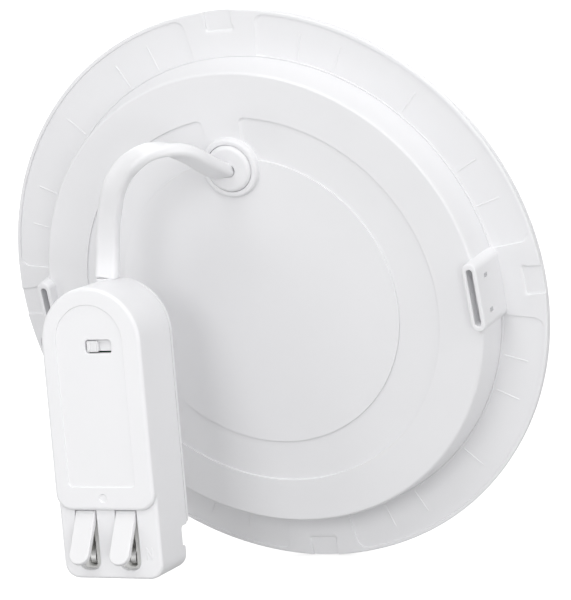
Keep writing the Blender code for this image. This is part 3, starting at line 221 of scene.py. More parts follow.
def step(tree, kind, operation=None, **values):
    """A node with its operation and its socket values; _1 stands for socket number 1."""
    made = tree.nodes.new(kind)
    if operation:
        made.operation = operation
    for label, value in values.items():
        socket = int(label[1:]) if label[0] == "_" else label.replace("_", " ")
        made.inputs[socket].default_value = value
    return made


def noise(tree, place, scale=None, **values):
    """A noise texture at a place. A scale that is given as a socket is linked."""
    made = step(tree, "ShaderNodeTexNoise", **values)
    tree.links.new(place, made.inputs["Vector"])
    if scale:
        tree.links.new(scale, made.inputs["Scale"])
    return made.outputs["Fac"]


def multiply_add(tree, *parts):
    """A value times a factor plus an offset, each of them a socket or a number."""
    made = step(tree, "ShaderNodeMath", "MULTIPLY_ADD")
    for socket, part in zip(made.inputs, parts):
        if isinstance(part, float):
            socket.default_value = part
        else:
            tree.links.new(part, socket)
    return made.outputs[0]


def clouded(tree, start, end, cloud, amount):
    """A cloud makes the colour lighter and darker. Returns the cloud about zero."""
    centred = step(tree, "ShaderNodeMath", "SUBTRACT", _1=0.5)
    tree.links.new(cloud, centred.inputs[0])
    tint = step(tree, "ShaderNodeVectorMath", "SCALE")
    tree.links.new(start.outputs["Colour"], tint.inputs[0])
    tree.links.new(multiply_add(tree, centred.outputs[0], amount, 1.0), tint.inputs["Scale"])
    tree.links.new(tint.outputs[0], end.inputs["Colour"])
    return centred.outputs[0]


def moulded_skin(sheen_change=0.16):
    """Cloudy colour, soft sheen changes and fine spark-eroded grain of moulded plastic."""
    labels = ("Colour", "Cloudiness", "Cloud Size", "Sheen", "Grain Size")
    tree, start, end = node_group("moulded_skin", *labels)
    given = start.outputs
    place = tree.nodes.new("ShaderNodeTexCoord").outputs["Object"]
    cloud = noise(tree, place, given["Cloud Size"], Detail=3.0, Roughness=0.55)
    grain = noise(tree, place, given["Grain Size"], Detail=2.0, Roughness=0.6)
    change = clouded(tree, start, end, cloud, given["Cloudiness"])
    sheen = multiply_add(tree, change, sheen_change, given["Sheen"])
    tree.links.new(sheen, end.inputs["Roughness"])
    tree.links.new(grain, end.inputs["Height"])
    return tree


def skinned(name, group, strength, relief, **values):
    """A material that takes its colour, roughness and relief from a skin's group."""
    made = bpy.data.materials.new(name)
    made.use_nodes = True
    tree = made.node_tree
    shader = tree.nodes["Principled BSDF"]
    skin = tree.nodes.new("ShaderNodeGroup")
    skin.node_tree = group
    for label, value in values.items():
        skin.inputs[label.replace("_", " ")].default_value = value
    bump = step(tree, "ShaderNodeBump", Strength=strength, Distance=relief)
    tree.links.new(skin.outputs["Colour"], shader.inputs["Base Color"])
    tree.links.new(skin.outputs["Roughness"], shader.inputs["Roughness"])
    tree.links.new(skin.outputs["Height"], bump.inputs["Height"])
    tree.links.new(bump.outputs["Normal"], shader.inputs["Normal"])
    return made


moulded = moulded_skin()


def plastic(name, colour, sheen, cloudiness=0.03, cloud_size=40.0, grain=3000.0, relief=0.00002):
    """Moulded plastic: the shared skin with this piece's colour, sheen and grain."""
    values = dict(Colour=(*colour, 1.0), Sheen=sheen, Cloudiness=cloudiness)
    return skinned(name, moulded, 0.6, relief, Cloud_Size=cloud_size, Grain_Size=grain, **values)


def lead_section(steps=7):
    """The flat lead's section: round corners, and a faint groove between the cores."""
    corner = lead_corner
    half, high = lead_width / 2 - corner, lead_thickness / 2 - corner
    section = []
    for side in (1, -1):
        for turn, x, y in ((-pi / 2, half, -high), (0.0, half, high)):
            for k in range(steps + 1):
                a = turn + pi / 2 * k / steps
                section.append((side * (x + corner * cos(a)), side * (y + corner * sin(a))))
        for k in range(1, 6):
            x = side * half * (1 - k / 3)
            dip = lead_groove * cos(pi / 2 * x / half) ** 2
            section.append((x, side * (high + corner - dip)))
    return section


def lead_mesh(count=160, smoothing=30):
    """The section swept along the route. Its broad side lies level in the bushing, turns
    edge-on over the arch and shows again on the way down into the driver."""
    run = smooth_run(lead_route, count)
    shares = np.linspace(0.0, 1.0, count)
    roll = np.interp(shares, twist_shares, np.radians(twist_turns))
    for _ in range(smoothing):
        roll[1:-1] = (roll[:-2] + 2 * roll[1:-1] + roll[2:]) / 4
    section = lead_section()
    points = []
    for i, here in enumerate(run):
        ahead = (run[min(i + 1, count - 1)] - run[max(i - 1, 0)]).normalized()
        near = (away - ahead * away.dot(ahead)).normalized()
        across = ahead.cross(near)
        wide = near * cos(roll[i]) + across * sin(roll[i])
        thick = ahead.cross(wide)
        points += [here + wide * u + thick * v for u, v in section]
    around = len(section)
    faces = []
    for i in range(count - 1):
        for k in range(around):
            a = i * around + k
            b = i * around + (k + 1) % around
            faces.append((a, b, b + around, a + around))
    faces.append(tuple(range(around))[::-1])
    faces.append(tuple(range(len(points) - around, len(points))))
    mesh = bpy.data.meshes.new("lead")
    mesh.from_pydata([tuple(p) for p in points], [], faces)
    mesh.shade_smooth()
    mesh.set_sharp_from_angle(angle=radians(60))
    made = bpy.data.objects.new("lead", mesh)
    scene.collection.objects.link(made)
    return made, run


lead, lead_line = lead_mesh()
white_jacket = plastic("soft_white_jacket", (0.83, 0.83, 0.845), 0.42, 0.04, 60.0, 1400.0, 0.00003)
lead.data.materials.append(white_jacket)
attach(lead, "luminaire")
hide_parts("flat_cord")

# Rear housing. Flange, drafted can and rear plate are one moulding in white
# polycarbonate, made in a two-part mould, so its walls draw out towards the rear and
# its edges are rolled. It is drawn in millimetres: across, up and out to the rear.
mm = 0.001
weld = 0.0004
fine_steps = 288
ring_steps = 96
corner_steps = 10


def arc(centre, radius, start, end, steps=corner_steps):
    """Points of an arc, angles in degrees, both ends included."""
    a = np.radians(np.linspace(start, end, steps + 1))
    return [(centre[0] + radius * cos(t), centre[1] + radius * sin(t)) for t in a]


def circle(radius, steps=fine_steps, centre=(0.0, 0.0)):
    """A ring of points, counterclockwise."""
    a = np.linspace(0.0, 2 * pi, steps, endpoint=False)
    return np.c_[centre[0] + radius * np.cos(a), centre[1] + radius * np.sin(a)]


def shifted(loop, distance):
    """A counterclockwise loop moved outward along its own normals."""
    ahead = np.roll(loop, -1, 0) - loop
    ahead /= np.linalg.norm(ahead, axis=1)[:, None]
    back = np.roll(ahead, 1, 0)
    out = np.c_[ahead[:, 1] + back[:, 1], -ahead[:, 0] - back[:, 0]]
    out /= np.linalg.norm(out, axis=1)[:, None]
    spread = np.clip((out * np.c_[ahead[:, 1], -ahead[:, 0]]).sum(1), 0.5, 1.0)
    return loop + out * (np.broadcast_to(distance, len(loop)) / spread)[:, None]


def lifted(loop, level):
    """A loop as points at a level."""
    return np.c_[loop, np.broadcast_to(level, len(loop))]


def inside(points, loop):
    """Which of the points lie inside a loop."""
    x, y = points[:, :1], points[:, 1:]
    ax, ay = loop[:, 0], loop[:, 1]
    bx, by = np.roll(ax, -1), np.roll(ay, -1)
    crosses = (ay > y) != (by > y)
    rise = np.where(by == ay, 1e-12, by - ay)
    return (crosses & (x < (bx - ax) * (y - ay) / rise + ax)).sum(1) % 2 == 1


def rolled(radius, steps=4):
    """Profile of a rolled edge that comes down from a face: outward, then down."""
    return arc((-radius, -radius), radius, 90, 0, steps)


class Shell:
    """Rows of points and flat faces that become one mesh."""

    def __init__(self):
        self.points = []
        self.faces = []

    def band(self, rows, closed=True):
        """Join rows of as many points into a skin."""
        start = len(self.points)
        count = len(rows[0])
        for row in rows:
            self.points.extend(tuple(p) for p in row)
        for k in range(len(rows) - 1):
            for i in range(count if closed else count - 1):
                j = (i + 1) % count
                a = start + k * count
                self.faces.append((a + i, a + j, a + count + j, a + count + i))

    def around(self, loop, profile):
        """A skin round a loop, from a profile of (outward, level)."""
        self.band([lifted(shifted(loop, out), level) for out, level in profile])

    def turned(self, profile, centre=(0.0, 0.0), steps=fine_steps):
        """A skin turned about an upright axis, from a profile of (radius, level)."""
        self.band([lifted(circle(r, steps, centre), level) for r, level in profile])

    def flat(self, level, outer, holes=()):
        """A level face inside one loop and outside the others."""
        loops = [np.asarray(outer), *[np.asarray(h) for h in holes]]
        places = [Vector(p) for loop in loops for p in loop]
        edges = []
        for loop in loops:
            start = len(edges)
            edges += [(start + i, start + (i + 1) % len(loop)) for i in range(len(loop))]
        spots, _, cells = delaunay_2d_cdt(places, edges, [], 0, 1e-7)[:3]
        spots = np.array([tuple(p) for p in spots])
        cells = np.array(cells)
        middle = spots[cells].mean(1)
        keep = inside(middle, loops[0])
        for hole in loops[1:]:
            keep &= ~inside(middle, hole)
        start = len(self.points)
        self.points.extend((x, y, level) for x, y in spots)
        self.faces.extend(tuple(int(i) + start for i in cell) for cell in cells[keep])

    def sunk(self, loop, level, depth, lip, foot):
        """The wall of a recess, its foot round, or straight where its width varies.
        Returns the loops of its lip and its floor."""
        profile = [(-out, level + down) for out, down in rolled(lip)]
        floor = level - depth
        rise = np.minimum(foot, depth - lip)
        if np.ndim(foot):
            profile += [(-foot * k / 3, floor + rise * (1 - k / 3)) for k in range(4)]
        else:
            turns = [pi / 2 * k / 3 for k in range(4)]
            profile += [(foot * cos(a) - foot, floor + rise - rise * sin(a)) for a in turns]
        self.around(loop, profile)
        return shifted(loop, lip), shifted(loop, -foot)

    def made(self, name, surface, body, place=None, slot=None):
        """The finished piece, in metres, riding on its body."""
        mesh = bpy.data.meshes.new(name)
        mesh.from_pydata(self.points, [], self.faces)
        draft = bmesh.new()
        draft.from_mesh(mesh)
        bmesh.ops.remove_doubles(draft, verts=draft.verts[:], dist=weld)
        bmesh.ops.dissolve_degenerate(draft, dist=weld, edges=draft.edges[:])
        bmesh.ops.recalc_face_normals(draft, faces=draft.faces[:])
        across_up_out = Matrix(((mm, 0, 0, 0), (0, 0, -mm, 0), (0, mm, 0, 0), (0, 0, 0, 1)))
        bmesh.ops.transform(draft, matrix=across_up_out, verts=draft.verts[:])
        if place is not None:
            bmesh.ops.transform(draft, matrix=place, verts=draft.verts[:])
        draft.to_mesh(mesh)
        draft.free()
        mesh.shade_smooth()
        mesh.set_sharp_from_angle(angle=radians(50))
        mesh.materials.append(surface)
        piece = bpy.data.objects.new(name, mesh)
        scene.collection.objects.link(piece)
        even = piece.modifiers.new("even_normals", "WEIGHTED_NORMAL")
        even.keep_sharp = True
        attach(piece, body)
        return piece


def sector(inner, outer, start, end, outer_corner, inner_corner, steps=60, fan_steps=8):
    """A ring's stretch between two angles from the top, with round corners."""
    points = []
    for radius, corner, sign in ((outer, outer_corner, -1), (inner, inner_corner, 1)):
        mid = radius + sign * corner
        off = asin(corner / mid)
        fans = []
        for angle, way in ((start, 1), (end, -1)):
            centre = radians(angle) + way * off
            side = Vector((-way * cos(radians(angle)), way * sin(radians(angle))))
            tip = Vector((sin(centre), cos(centre))) * -sign
            spread = side.angle_signed(tip)
            hub = Vector((sin(centre), cos(centre))) * mid
            fan = []
            for k in range(fan_steps + 1):
                arm = side.copy()
                arm.rotate(Matrix.Rotation(-spread * k / fan_steps, 2))
                fan.append(hub + arm * corner)
            fans.append(fan)
        first, last = radians(start) + off, radians(end) - off
        middle = []
        for k in range(1, steps):
            a = first + (last - first) * k / steps
            middle.append(Vector((radius * sin(a), radius * cos(a))))
        edge = fans[0] + middle + fans[1][::-1]
        points += edge if sign < 0 else edge[::-1]
    return np.array([tuple(p) for p in points])[::-1]


def slot_loop(width, height, centre=(0.0, 0.0), steps=10):
    """An upright slot with round ends."""
    radius = width / 2
    rise = height / 2 - radius
    a = np.linspace(0.0, pi, steps + 1)
    upper = np.c_[radius * np.cos(a), rise + radius * np.sin(a)]
    return np.r_[upper, -upper] + centre


def slope_at(loop, start, width, turn):
    """How much wider a recess's foot is at the angle where its ring stretch starts."""
    at = np.degrees(np.arctan2(loop[:, 0], loop[:, 1])) % 360
    return width * np.clip(1 - (at - start) / turn, 0, 1)


housing = Shell()
rim_radius = 85.0
rim_steps = 64
rim_roll, side_roll, roll_growth = 0.45, 0.15, 1.35
can_foot = 71.2
can_top = 69.5
can_rise = 9.6
can_roll = 0.9
notch_half = 2.8
notch_depth = 0.5
notch_floor, notch_bed = 79.3, 78.0
notch_corner, notch_slope = 0.6, 1.2
quarters = (0, 90, 180, 270)

# the flange's outline with its notches, and the width of its rolled edge
rim_line = []
rolls = []
half = rim_radius * sin(radians(notch_half))
mouth = rim_radius * cos(radians(notch_half))
for quarter in quarters:
    for k in range(rim_steps + 1):
        a = radians(quarter + notch_half + (90.0 - 2 * notch_half) * k / rim_steps)
        rim_line.append((rim_radius * sin(a), rim_radius * cos(a)))
        rolls.append((side_roll, 0.32, rim_roll)[min(k, rim_steps - k, 2)])
    centre = radians(quarter + 90.0)
    along = Vector((cos(centre), -sin(centre)))
    out = Vector((sin(centre), cos(centre)))
    wall = [(-half, mouth - 0.4), (-half + 0.03, notch_floor + 1.6)]
    wall += arc((notch_corner - half, notch_floor + notch_corner), notch_corner, 180, 270, 6)
    wall += [((notch_corner - half) * (1 - t), notch_floor) for t in (0.33, 0.66, 1.0)]
    wall += [(-x, y) for x, y in wall[::-1][1:]]
    for x, y in wall:
        spot = along * x + out * y
        rim_line.append((spot.x, spot.y))
        near = min(max((notch_floor + notch_slope - y) / notch_slope, 0.0), 1.0)
        rolls.append(side_roll + roll_growth * near)
rim_line = np.array(rim_line)[::-1]
rolls = np.array(rolls)[::-1]
rows = [lifted(rim_line, -notch_depth)]
for a in np.linspace(0.0, pi / 2, 5):
    fall = np.minimum(rolls, rim_roll) * (sin(a) - 1)
    rows.append(lifted(shifted(rim_line, rolls * (cos(a) - 1)), fall))
housing.band(rows)

# recesses in the flange; the upper right one starts with a slope
recess_depth = 0.4
recess_start, recess_end = 8.0, 82.0
groove_width, groove_depth = 0.2, 0.14
openings = [circle(can_foot + groove_width)]
for quarter in quarters:
    patch = sector(71.62, 83.9, quarter + recess_start, quarter + recess_end, 2.8, 0.5)
    foot = 0.12
    if quarter == 0:
        foot = foot + slope_at(patch, recess_start, 0.65, 1.2)
    lip, bed = housing.sunk(patch, 0.0, recess_depth, 0.10, foot)
    housing.flat(-recess_depth, bed)
    openings.append(lip)
housing.flat(0.0, shifted(rim_line, -rolls), openings)

# the notches' beds, the flange's lower edge and the inside of the can
edge_round, edge_level = 0.2, -1.0
inner_radius, inner_level = 67.7, 8.0
housing.flat(-notch_depth, circle(rim_radius), [circle(notch_bed)])
edge = [(rim_radius, -notch_depth), (rim_radius, edge_level)]
edge += arc((rim_radius - edge_round, edge_level), edge_round, 0, -90, 3)
edge += [(69.6, -1.2), (69.4, -1.0), (67.9, 7.8), (inner_radius, inner_level)]
housing.turned(edge)

# the can's wall, with a groove at its foot and a rolled edge above
wall = [(can_foot + groove_width, 0.0), (can_foot + 0.16, -0.03)]
wall += [(can_foot + 0.12, -groove_depth), (can_foot + 0.02, -groove_depth)]
wall += [(can_foot, 0.0), (can_foot - 0.02, 0.12)]
slope = (can_foot - can_top) / can_rise
wall += [(can_foot - slope * h, h) for h in (1.0, 4.0, 8.0)]
lean = degrees(atan2(can_foot - can_top, can_rise))
wall += arc((can_top - can_roll, can_rise - can_roll), can_roll, lean, 90, 7)
housing.turned(wall)

# the rear plate with its ring channel, and the boss in the channel's gap
channel_depth = 0.55
channel_start, channel_end = 5.4, 353.0
channel = sector(43.8, 56.1, channel_start, channel_end, 1.5, 1.0, 220)
foot = 0.08 + slope_at(channel, channel_start, 0.85, 1.5)
lip, bed = housing.sunk(channel, can_rise, channel_depth, 0.08, foot)
gland = (0.0, 41.4)
boss_radius, bore_radius = 9.1, 7.0
foot_ring = circle(boss_radius, ring_steps, gland)
housing.flat(can_rise, circle(can_top - can_roll), [lip, foot_ring])
housing.flat(can_rise - channel_depth, bed, [foot_ring])
collar = [(boss_radius, can_rise - 0.6), (boss_radius, can_rise)]
collar += [(8.94, 9.66), (8.88, 9.8), (8.76, 10.3)]
collar += arc((7.96, 10.4), 0.8, degrees(0.1), 90, 6)
collar += [(7.3, 11.2), (7.12, 11.15), (7.04, 11.0), (bore_radius, inner_level)]
housing.turned(collar, gland, ring_steps)
housing.flat(inner_level, circle(inner_radius), [circle(bore_radius, ring_steps, gland)])

# fine ribs on the recesses' floors
rib_width, rib_length, rib_middle = 0.56, 7.6, 76.1
rib_profile = [(0.0, -0.45), (0.0, -0.37), (-0.06, -0.29), (-0.16, -0.25)]
for quarter in quarters:
    for turn in (18.0, 27.0, 45.0, 63.0, 72.0):
        a = radians(quarter + turn)
        across = np.array([cos(a), -sin(a)])
        out = np.array([sin(a), cos(a)])
        rib = slot_loop(rib_width, rib_length)
        rib = rib[:, :1] * across + (rib[:, 1:] + rib_middle) * out
        housing.around(rib, rib_profile)
        housing.flat(rib_profile[-1][1], shifted(rib, rib_profile[-1][0]))

# two lugs, each with a deep slot and two latch windows in its side
lug_tip = 68.9
lug_base = lug_tip + 0.75
lug_top, lug_roll = 13.4, 0.45
slot_depth, latch_depth = 11.0, 1.25
latch_stops = (5.75, 4.55, -4.55, -5.75)


def lug_loop(width, height, centre):
    """A lug's outline, with points on its outer side where the latch windows are."""
    loop = slot_loop(width, height, (0.0, 0.0), 14)
    side = [(width / 2, z) for z in latch_stops[::-1]]
    return np.r_[loop, side] + (centre, 0.0)


for side in (1, -1):
    low = lug_loop(5.9, 20.95, lug_base) * side
    high = lug_loop(4.4, 20.2, lug_tip) * side
    rows = [lifted(low, h) for h in (-0.1, 0.1, 0.35)]
    for h in (3.0, 6.0, 7.5, 9.3, 11.0):
        rows.append(lifted(low + (high - low) * h / lug_top, h))
    for out, down in rolled(lug_roll)[::-1]:
        rows.append(lifted(shifted(high, out), lug_top + down))
    count = len(low)
    start = len(housing.faces)
    housing.band(rows)
    windows = [start + 6 * count - len(latch_stops) + k for k in (0, 2)]
    for face in windows:
        corners = housing.faces[face]
        first = len(housing.points)
        for i in corners:
            x, y, z = housing.points[i]
            housing.points.append((x - side * latch_depth, y, z))
        for k in range(4):
            a, b = corners[k], corners[(k + 1) % 4]
            housing.faces.append((a, first + k, first + (k + 1) % 4, b))
        housing.faces.append(tuple(range(first, first + 4)))
    for face in windows[::-1]:
        del housing.faces[face]
    slot = slot_loop(1.9, 16.8, (side * lug_tip, 0.0), 12)
    lip, bed = housing.sunk(slot, lug_top, slot_depth, 0.22, 0.2)
    housing.flat(lug_top, shifted(high, -lug_roll), [lip])
    housing.flat(lug_top - slot_depth, bed)

polycarbonate = plastic("white_polycarbonate", (0.80, 0.80, 0.815), 0.40)
piece = housing.made("housing_moulding", polycarbonate, "luminaire", slot="white_housing")
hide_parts("rear_housing")

# Gland bushing. A domed bushing in the same white plastic, snapped into the boss; its
# flat hole, a little left of its middle, holds the lead with its broad side level.
bushing = Shell()
crown, crown_fall = 12.4, 0.22
cap_top, cap_roll = 5.6, 1.3
mouth_half, mouth_high = 3.56, 2.05
mouth_middle = (-1.3, -0.25)
mouth_end = 8.6
angles = np.linspace(0.0, 2 * pi, ring_steps, endpoint=False)
turn_in = mouth_half - mouth_high
c, s = np.abs(np.cos(angles)), np.sin(angles)
flat_part = mouth_high / np.maximum(np.abs(s), 1e-9)
round_part = turn_in * c + np.sqrt(np.maximum(mouth_high**2 - (turn_in * s) ** 2, 0.0))
far = np.where(flat_part * c < turn_in, flat_part, round_part)
mouth = np.c_[far * np.cos(angles), far * s] + mouth_middle


def on_dome(ring, down=0.0):
    """A ring about the bushing's middle, laid on its domed face."""
    far = np.hypot(ring[:, 0], ring[:, 1])
    return np.c_[ring + gland, crown + down - crown_fall * (far / cap_top) ** 2]


side = [(bore_radius, 10.5), (6.97, 10.7), (6.95, crown - 1.45)]
for t in np.linspace(0.15, pi / 2 - 0.08, 7):
    side.append((cap_top + cap_roll * cos(t), crown - 1.42 + 1.2 * sin(t)))
rows = [lifted(circle(r, ring_steps, gland), h) for r, h in side]
for share in (1.0, 0.75, 0.5, 0.3, 0.15, 0.07):
    rows.append(on_dome(mouth * (1 - share) + circle(cap_top, ring_steps) * share))
rows += [on_dome(shifted(mouth, -out), down) for out, down in rolled(0.08)]
rows.append(lifted(mouth + gland, mouth_end))
bushing.band(rows)
piece = bushing.made("bushing_cap", polycarbonate, "luminaire", slot="white_housing")
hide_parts("gland_bushing")

# Lead's inner end. The same flat lead, straight, from just under the bushing's face
# down to the light board.
inner_lead = Shell()
stub_width = 0.0066
stub = np.array(lead_section()) / mm * (stub_width / lead_width, 1.0) + gland
stub_top, stub_end = 10.6, -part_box("panel_cord_end")[1][1] / mm
inner_lead.around(stub[::-1], [(0.0, stub_end), (0.0, stub_top - 0.2), (-0.15, stub_top)])
inner_lead.flat(stub_top, shifted(stub[::-1], -0.15))
inner_lead.flat(stub_end, stub)
piece = inner_lead.made("lead_inner_end", white_jacket, "luminaire", slot="white_cord")
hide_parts("panel_cord_end")

# Front trim. A white ring that is pressed over the flange from the room's side, with a
# rolled outer edge; four small bridges at the flange's notches close the seam there.
trim = Shell()
bridge_half, bridge_level, bridge_roll = 2.75, -0.7, 0.25
profile = [(74.0, -1.62), (84.55, -1.62), (84.82, -1.68), (84.9, -1.9)]
profile += arc((83.4, -2.3), 1.5, 0, -90, 9)
profile += [(80.0, -3.8), (76.0, -3.8), (71.7, -3.8), (71.4, -3.7), (71.25, -3.5)]
profile += [(71.2, -3.05), (73.9, -3.0), (74.0, -1.62)]
trim.turned(profile)
for quarter in quarters:
    bridge = sector(80.0, 84.86, quarter - bridge_half, quarter + bridge_half, 0.2, 0.2, 8)
    trim.around(bridge, [(0.0, -1.9), (0.0, -0.9), (-0.1, -0.75), (-bridge_roll, bridge_level)])
    trim.flat(bridge_level, shifted(bridge, -bridge_roll))
trim_plastic = plastic("white_trim_plastic", (0.82, 0.82, 0.835), 0.34)
piece = trim.made("trim_ring", trim_plastic, "luminaire", slot="white_trim")
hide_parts("front_trim")

# Diffuser. An opal acrylic disc, seated between the flange and the trim's lip; it is
# pressed from sheet, faintly domed to the room, and softens the board's light points.
opal_disc = Shell()
disc_radius, disc_back = 73.6, -1.52
dome_radius, dome_level, dome_rise = 70.8, -2.72, 0.28
profile = [(disc_radius, disc_back), (disc_radius, -2.68), (71.0, -2.70), (dome_radius, dome_level)]
for s in (0.85, 0.7, 0.55, 0.4, 0.25, 0.1):
    profile.append((dome_radius * s, dome_level - dome_rise * (1 - s * s)))
opal_disc.turned(profile)
opal_disc.flat(profile[-1][1], circle(profile[-1][0]))
opal_disc.flat(disc_back, circle(disc_radius))
opal_acrylic = plastic("opal_acrylic", (0.88, 0.88, 0.86), 0.30, 0.015, 25.0, 5000.0, 0.00001)
shader = opal_acrylic.node_tree.nodes["Principled BSDF"]
shader.inputs["Subsurface Weight"].default_value = 0.25
shader.inputs["Subsurface Scale"].default_value = 0.002
piece = opal_disc.made("opal_disc", opal_acrylic, "luminaire", slot="opal")
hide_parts("diffuser")

# Driver shell. The front half of the driver's box, one moulding in fine matt white
# plastic: an arched cover with a shallow label field, and a lower face for the levers.
driver_turn = Matrix.Rotation(radians(1.79), 4, "Z") @ Matrix.Rotation(radians(1.62), 4, "Y")
driver_turn = driver_turn @ Matrix.Rotation(radians(-11.76), 4, "X")
driver_place = Matrix.Translation((-0.0337, -0.0477, -0.0654)) @ driver_turn
half_width = 15.75
driver_top = 84.2
arch_centre = driver_top - half_width
arch_steps = 48
low_corner = 4.4
cover_face = 20.7
terminal_face, terminal_roll = 19.1, 1.0
wall_top = terminal_face - terminal_roll
lever_places = (-7.4, 5.45)


def arched(half, low, high, corner, shift=0.0, sides=()):
    """The driver's outline: round lower corners, straight sides and a half round top."""
    loop = arc((shift + half - corner, low + corner), corner, -90, 0)
    loop += [(shift + half, v) for v in sides]
    loop += arc((shift, high - half), half, 0, 180, arch_steps)
    loop += [(shift - half, v) for v in sides[::-1]]
    loop += arc((shift - half + corner, low + corner), corner, 180, 270)
    return np.array(loop)


shell = Shell()
upper_sides = (26.0, 27.0, 34.0, 44.0, 54.0, 62.0)

# the back edge on each side, as (up, out): foot, groove, then the split line to the
# back cover
foot_back, foot_roll = 3.6, 2.0
split_start, split_level = 12.5, 1.72
foot_side = [(4.6, 3.6), (5.9, 3.6), (6.22, 3.66), (6.4, 3.85), (6.44, 4.5), (6.6, 4.95)]
foot_side += [(6.95, 5.2), (11.3, 5.2), (11.95, 5.05), (12.35, 4.6), (split_start, 4.0)]
foot_side += [(v, split_level) for v in (split_start, 16.0, 20.0, 23.0, 25.0)]
right = []
for x, v in arc((half_width - low_corner, low_corner), low_corner, -90, 0):
    rise = foot_roll - (foot_roll**2 - max(foot_roll - v, 0.0) ** 2) ** 0.5
    right.append((x, v, foot_back + rise))
right += [(half_width, v, w) for v, w in foot_side]
right_upper = [(half_width, v, split_level) for v in upper_sides]
arch = arc((0.0, arch_centre), half_width, 0, 180, arch_steps)
side = right + right_upper + [(x, v, split_level) for x, v in arch]
side += [(-x, v, w) for x, v, w in (right + right_upper)[::-1]]
side = np.array(side)
shell.band([side, lifted(side[:, :2], wall_top)], closed=False)

# a small roll along the back edge, then the back surface across the driver
back_roll = 0.2
mirror = (-1, 1, 1)
corner_count = corner_steps + 1
low_edge = np.array([p for p in right if p[1] <= split_start])
corner = low_edge[:corner_count, :2]
plan = np.r_[corner, [(half_width, 9.0), (-half_width, 9.0)], corner[::-1] * (-1, 1)]
back = low_edge.copy()
back[:corner_count, :2] = shifted(plan, -back_roll)[:corner_count]
back[:corner_count, 2] -= back_roll
path = low_edge[corner_steps:, 1:]
ahead = np.gradient(path, axis=0)
ahead /= np.maximum(np.linalg.norm(ahead, axis=1)[:, None], 1e-9)
out = np.c_[ahead[:, 1], -ahead[:, 0]]
back[corner_steps:, 0] = half_width - back_roll
back[corner_steps:, 1:] = path + out * back_roll
shell.band([low_edge, back], closed=False)
shell.band([low_edge * mirror, back * mirror], closed=False)
shell.band([back, back * mirror], closed=False)

# split line above the groove: the wall turns in behind the back cover
split_bed = 1.6
split_turn, split_wall, split_arch = 0.15, 1.6, 0.9
split = np.array([p for p in side if p[1] >= split_start and p[2] <= split_level])
inward = split * ((half_width - split_turn) / half_width, 1, 1)
inward[:, 2] = split_bed
inner_wall = split * ((half_width - split_wall) / half_width, 1, 1)
up = inner_wall[:, 1]
inner_wall[:, 1] = np.where(up > arch_centre, arch_centre + (up - arch_centre) * split_arch, up)
inner_wall[:, 2] = split_bed
shell.band([split, inward, inner_wall], closed=False)

# foot: a flat face with the two wire entries
foot = Shell()
foot_half, foot_low = half_width - low_corner, foot_back + foot_roll
foot_loop = [(-foot_half, foot_low), (foot_half, foot_low)]
foot_loop += [(foot_half, wall_top), (-foot_half, wall_top)]
entries = [circle(1.8, 40, (x, 11.0)) for x in lever_places]
entries = [foot.sunk(entry, 0.0, 2.4, 0.35, 0.05)[0] for entry in entries]
foot.flat(0.0, foot_loop, entries)
start = len(shell.points)
shell.points += [(x, -c, w) for x, w, c in foot.points]
shell.faces += [tuple(i + start for i in face) for face in foot.faces]

# lower front edge
low_front = [(x, v) for x, v, w in right if (v, w) != (split_start, split_level)]
low_front += [(half_width, v) for v in upper_sides[:2]]
half = len(low_front)
ring = np.array(low_front + [(-x, v) for x, v in low_front[::-1]])
rows = []
for t in np.linspace(0.0, pi / 2, 7):
    inset = terminal_roll * (1 - cos(t))
    moved = shifted(ring, -inset)
    moved[half - 1] = (half_width - inset, upper_sides[1])
    moved[half] = (inset - half_width, upper_sides[1])
    moved[0] = (ring[0][0], inset)
    moved[-1] = (ring[-1][0], inset)
    rows.append(lifted(moved, wall_top + terminal_roll * sin(t)))
shell.band([np.roll(row, -half, 0) for row in rows], closed=False)

# the face under the levers, with their two slots and a raised terminal letter
slot_corner = 2.6
slot = arc((0.85, 5.2), slot_corner, -90, 0)
slot += [(3.45, 19.95), (3.3, 20.1), (-3.3, 20.1), (-3.45, 19.95)]
slot = np.array(slot + arc((-0.85, 5.2), slot_corner, 180, 270))
slots = [shell.sunk(slot + (x, 0.0), terminal_face, 1.8, 0.30, 0.05)[0] for x in lever_places]
stem, wide, tall, cut = 0.46, 2.2, 3.6, 1.05
letter_roll, letter_top = 0.07, terminal_face + 0.13
letter = [(0, 0), (stem, 0), (stem, tall - cut), (wide - stem, 0), (wide, 0), (wide, tall)]
letter += [(wide - stem, tall), (wide - stem, cut), (stem, tall), (0, tall)]
letter = np.array(letter) + (10.9, 5.7)
edge = [(0.0, terminal_face), (-0.03, terminal_face + 0.10), (-letter_roll, letter_top)]
shell.around(letter, edge)
shell.flat(letter_top, shifted(letter, -letter_roll))
shell.flat(terminal_face, rows[-1][:, :2], slots + [letter])

# arched cover: rolled edge, label field, switch window and a small ejector dimple
cover_roll, label_depth, dimple_depth = 1.1, 0.30, 0.34
cover_line = arched(half_width, 20.2, driver_top, 4.8, 0.0, upper_sides)
profile = [(0.0, wall_top), (0.0, cover_face - cover_roll)]
profile += arc((-cover_roll, cover_face - cover_roll), cover_roll, 0, 90, 7)
shell.around(cover_line, profile)
label = arched(10.55, 27.0, 79.3, 1.4, -0.5)
label_edge, field = shell.sunk(label, cover_face, label_depth, 0.14, 0.16)
dimple = circle(1.15, 32, (-0.45, 23.8))
dimple_edge, dimple_bed = shell.sunk(dimple, cover_face, dimple_depth, 0.22, 0.3)
shell.flat(cover_face - dimple_depth, dimple_bed)
shell.flat(cover_face, shifted(cover_line, -cover_roll), [label_edge, dimple_edge])


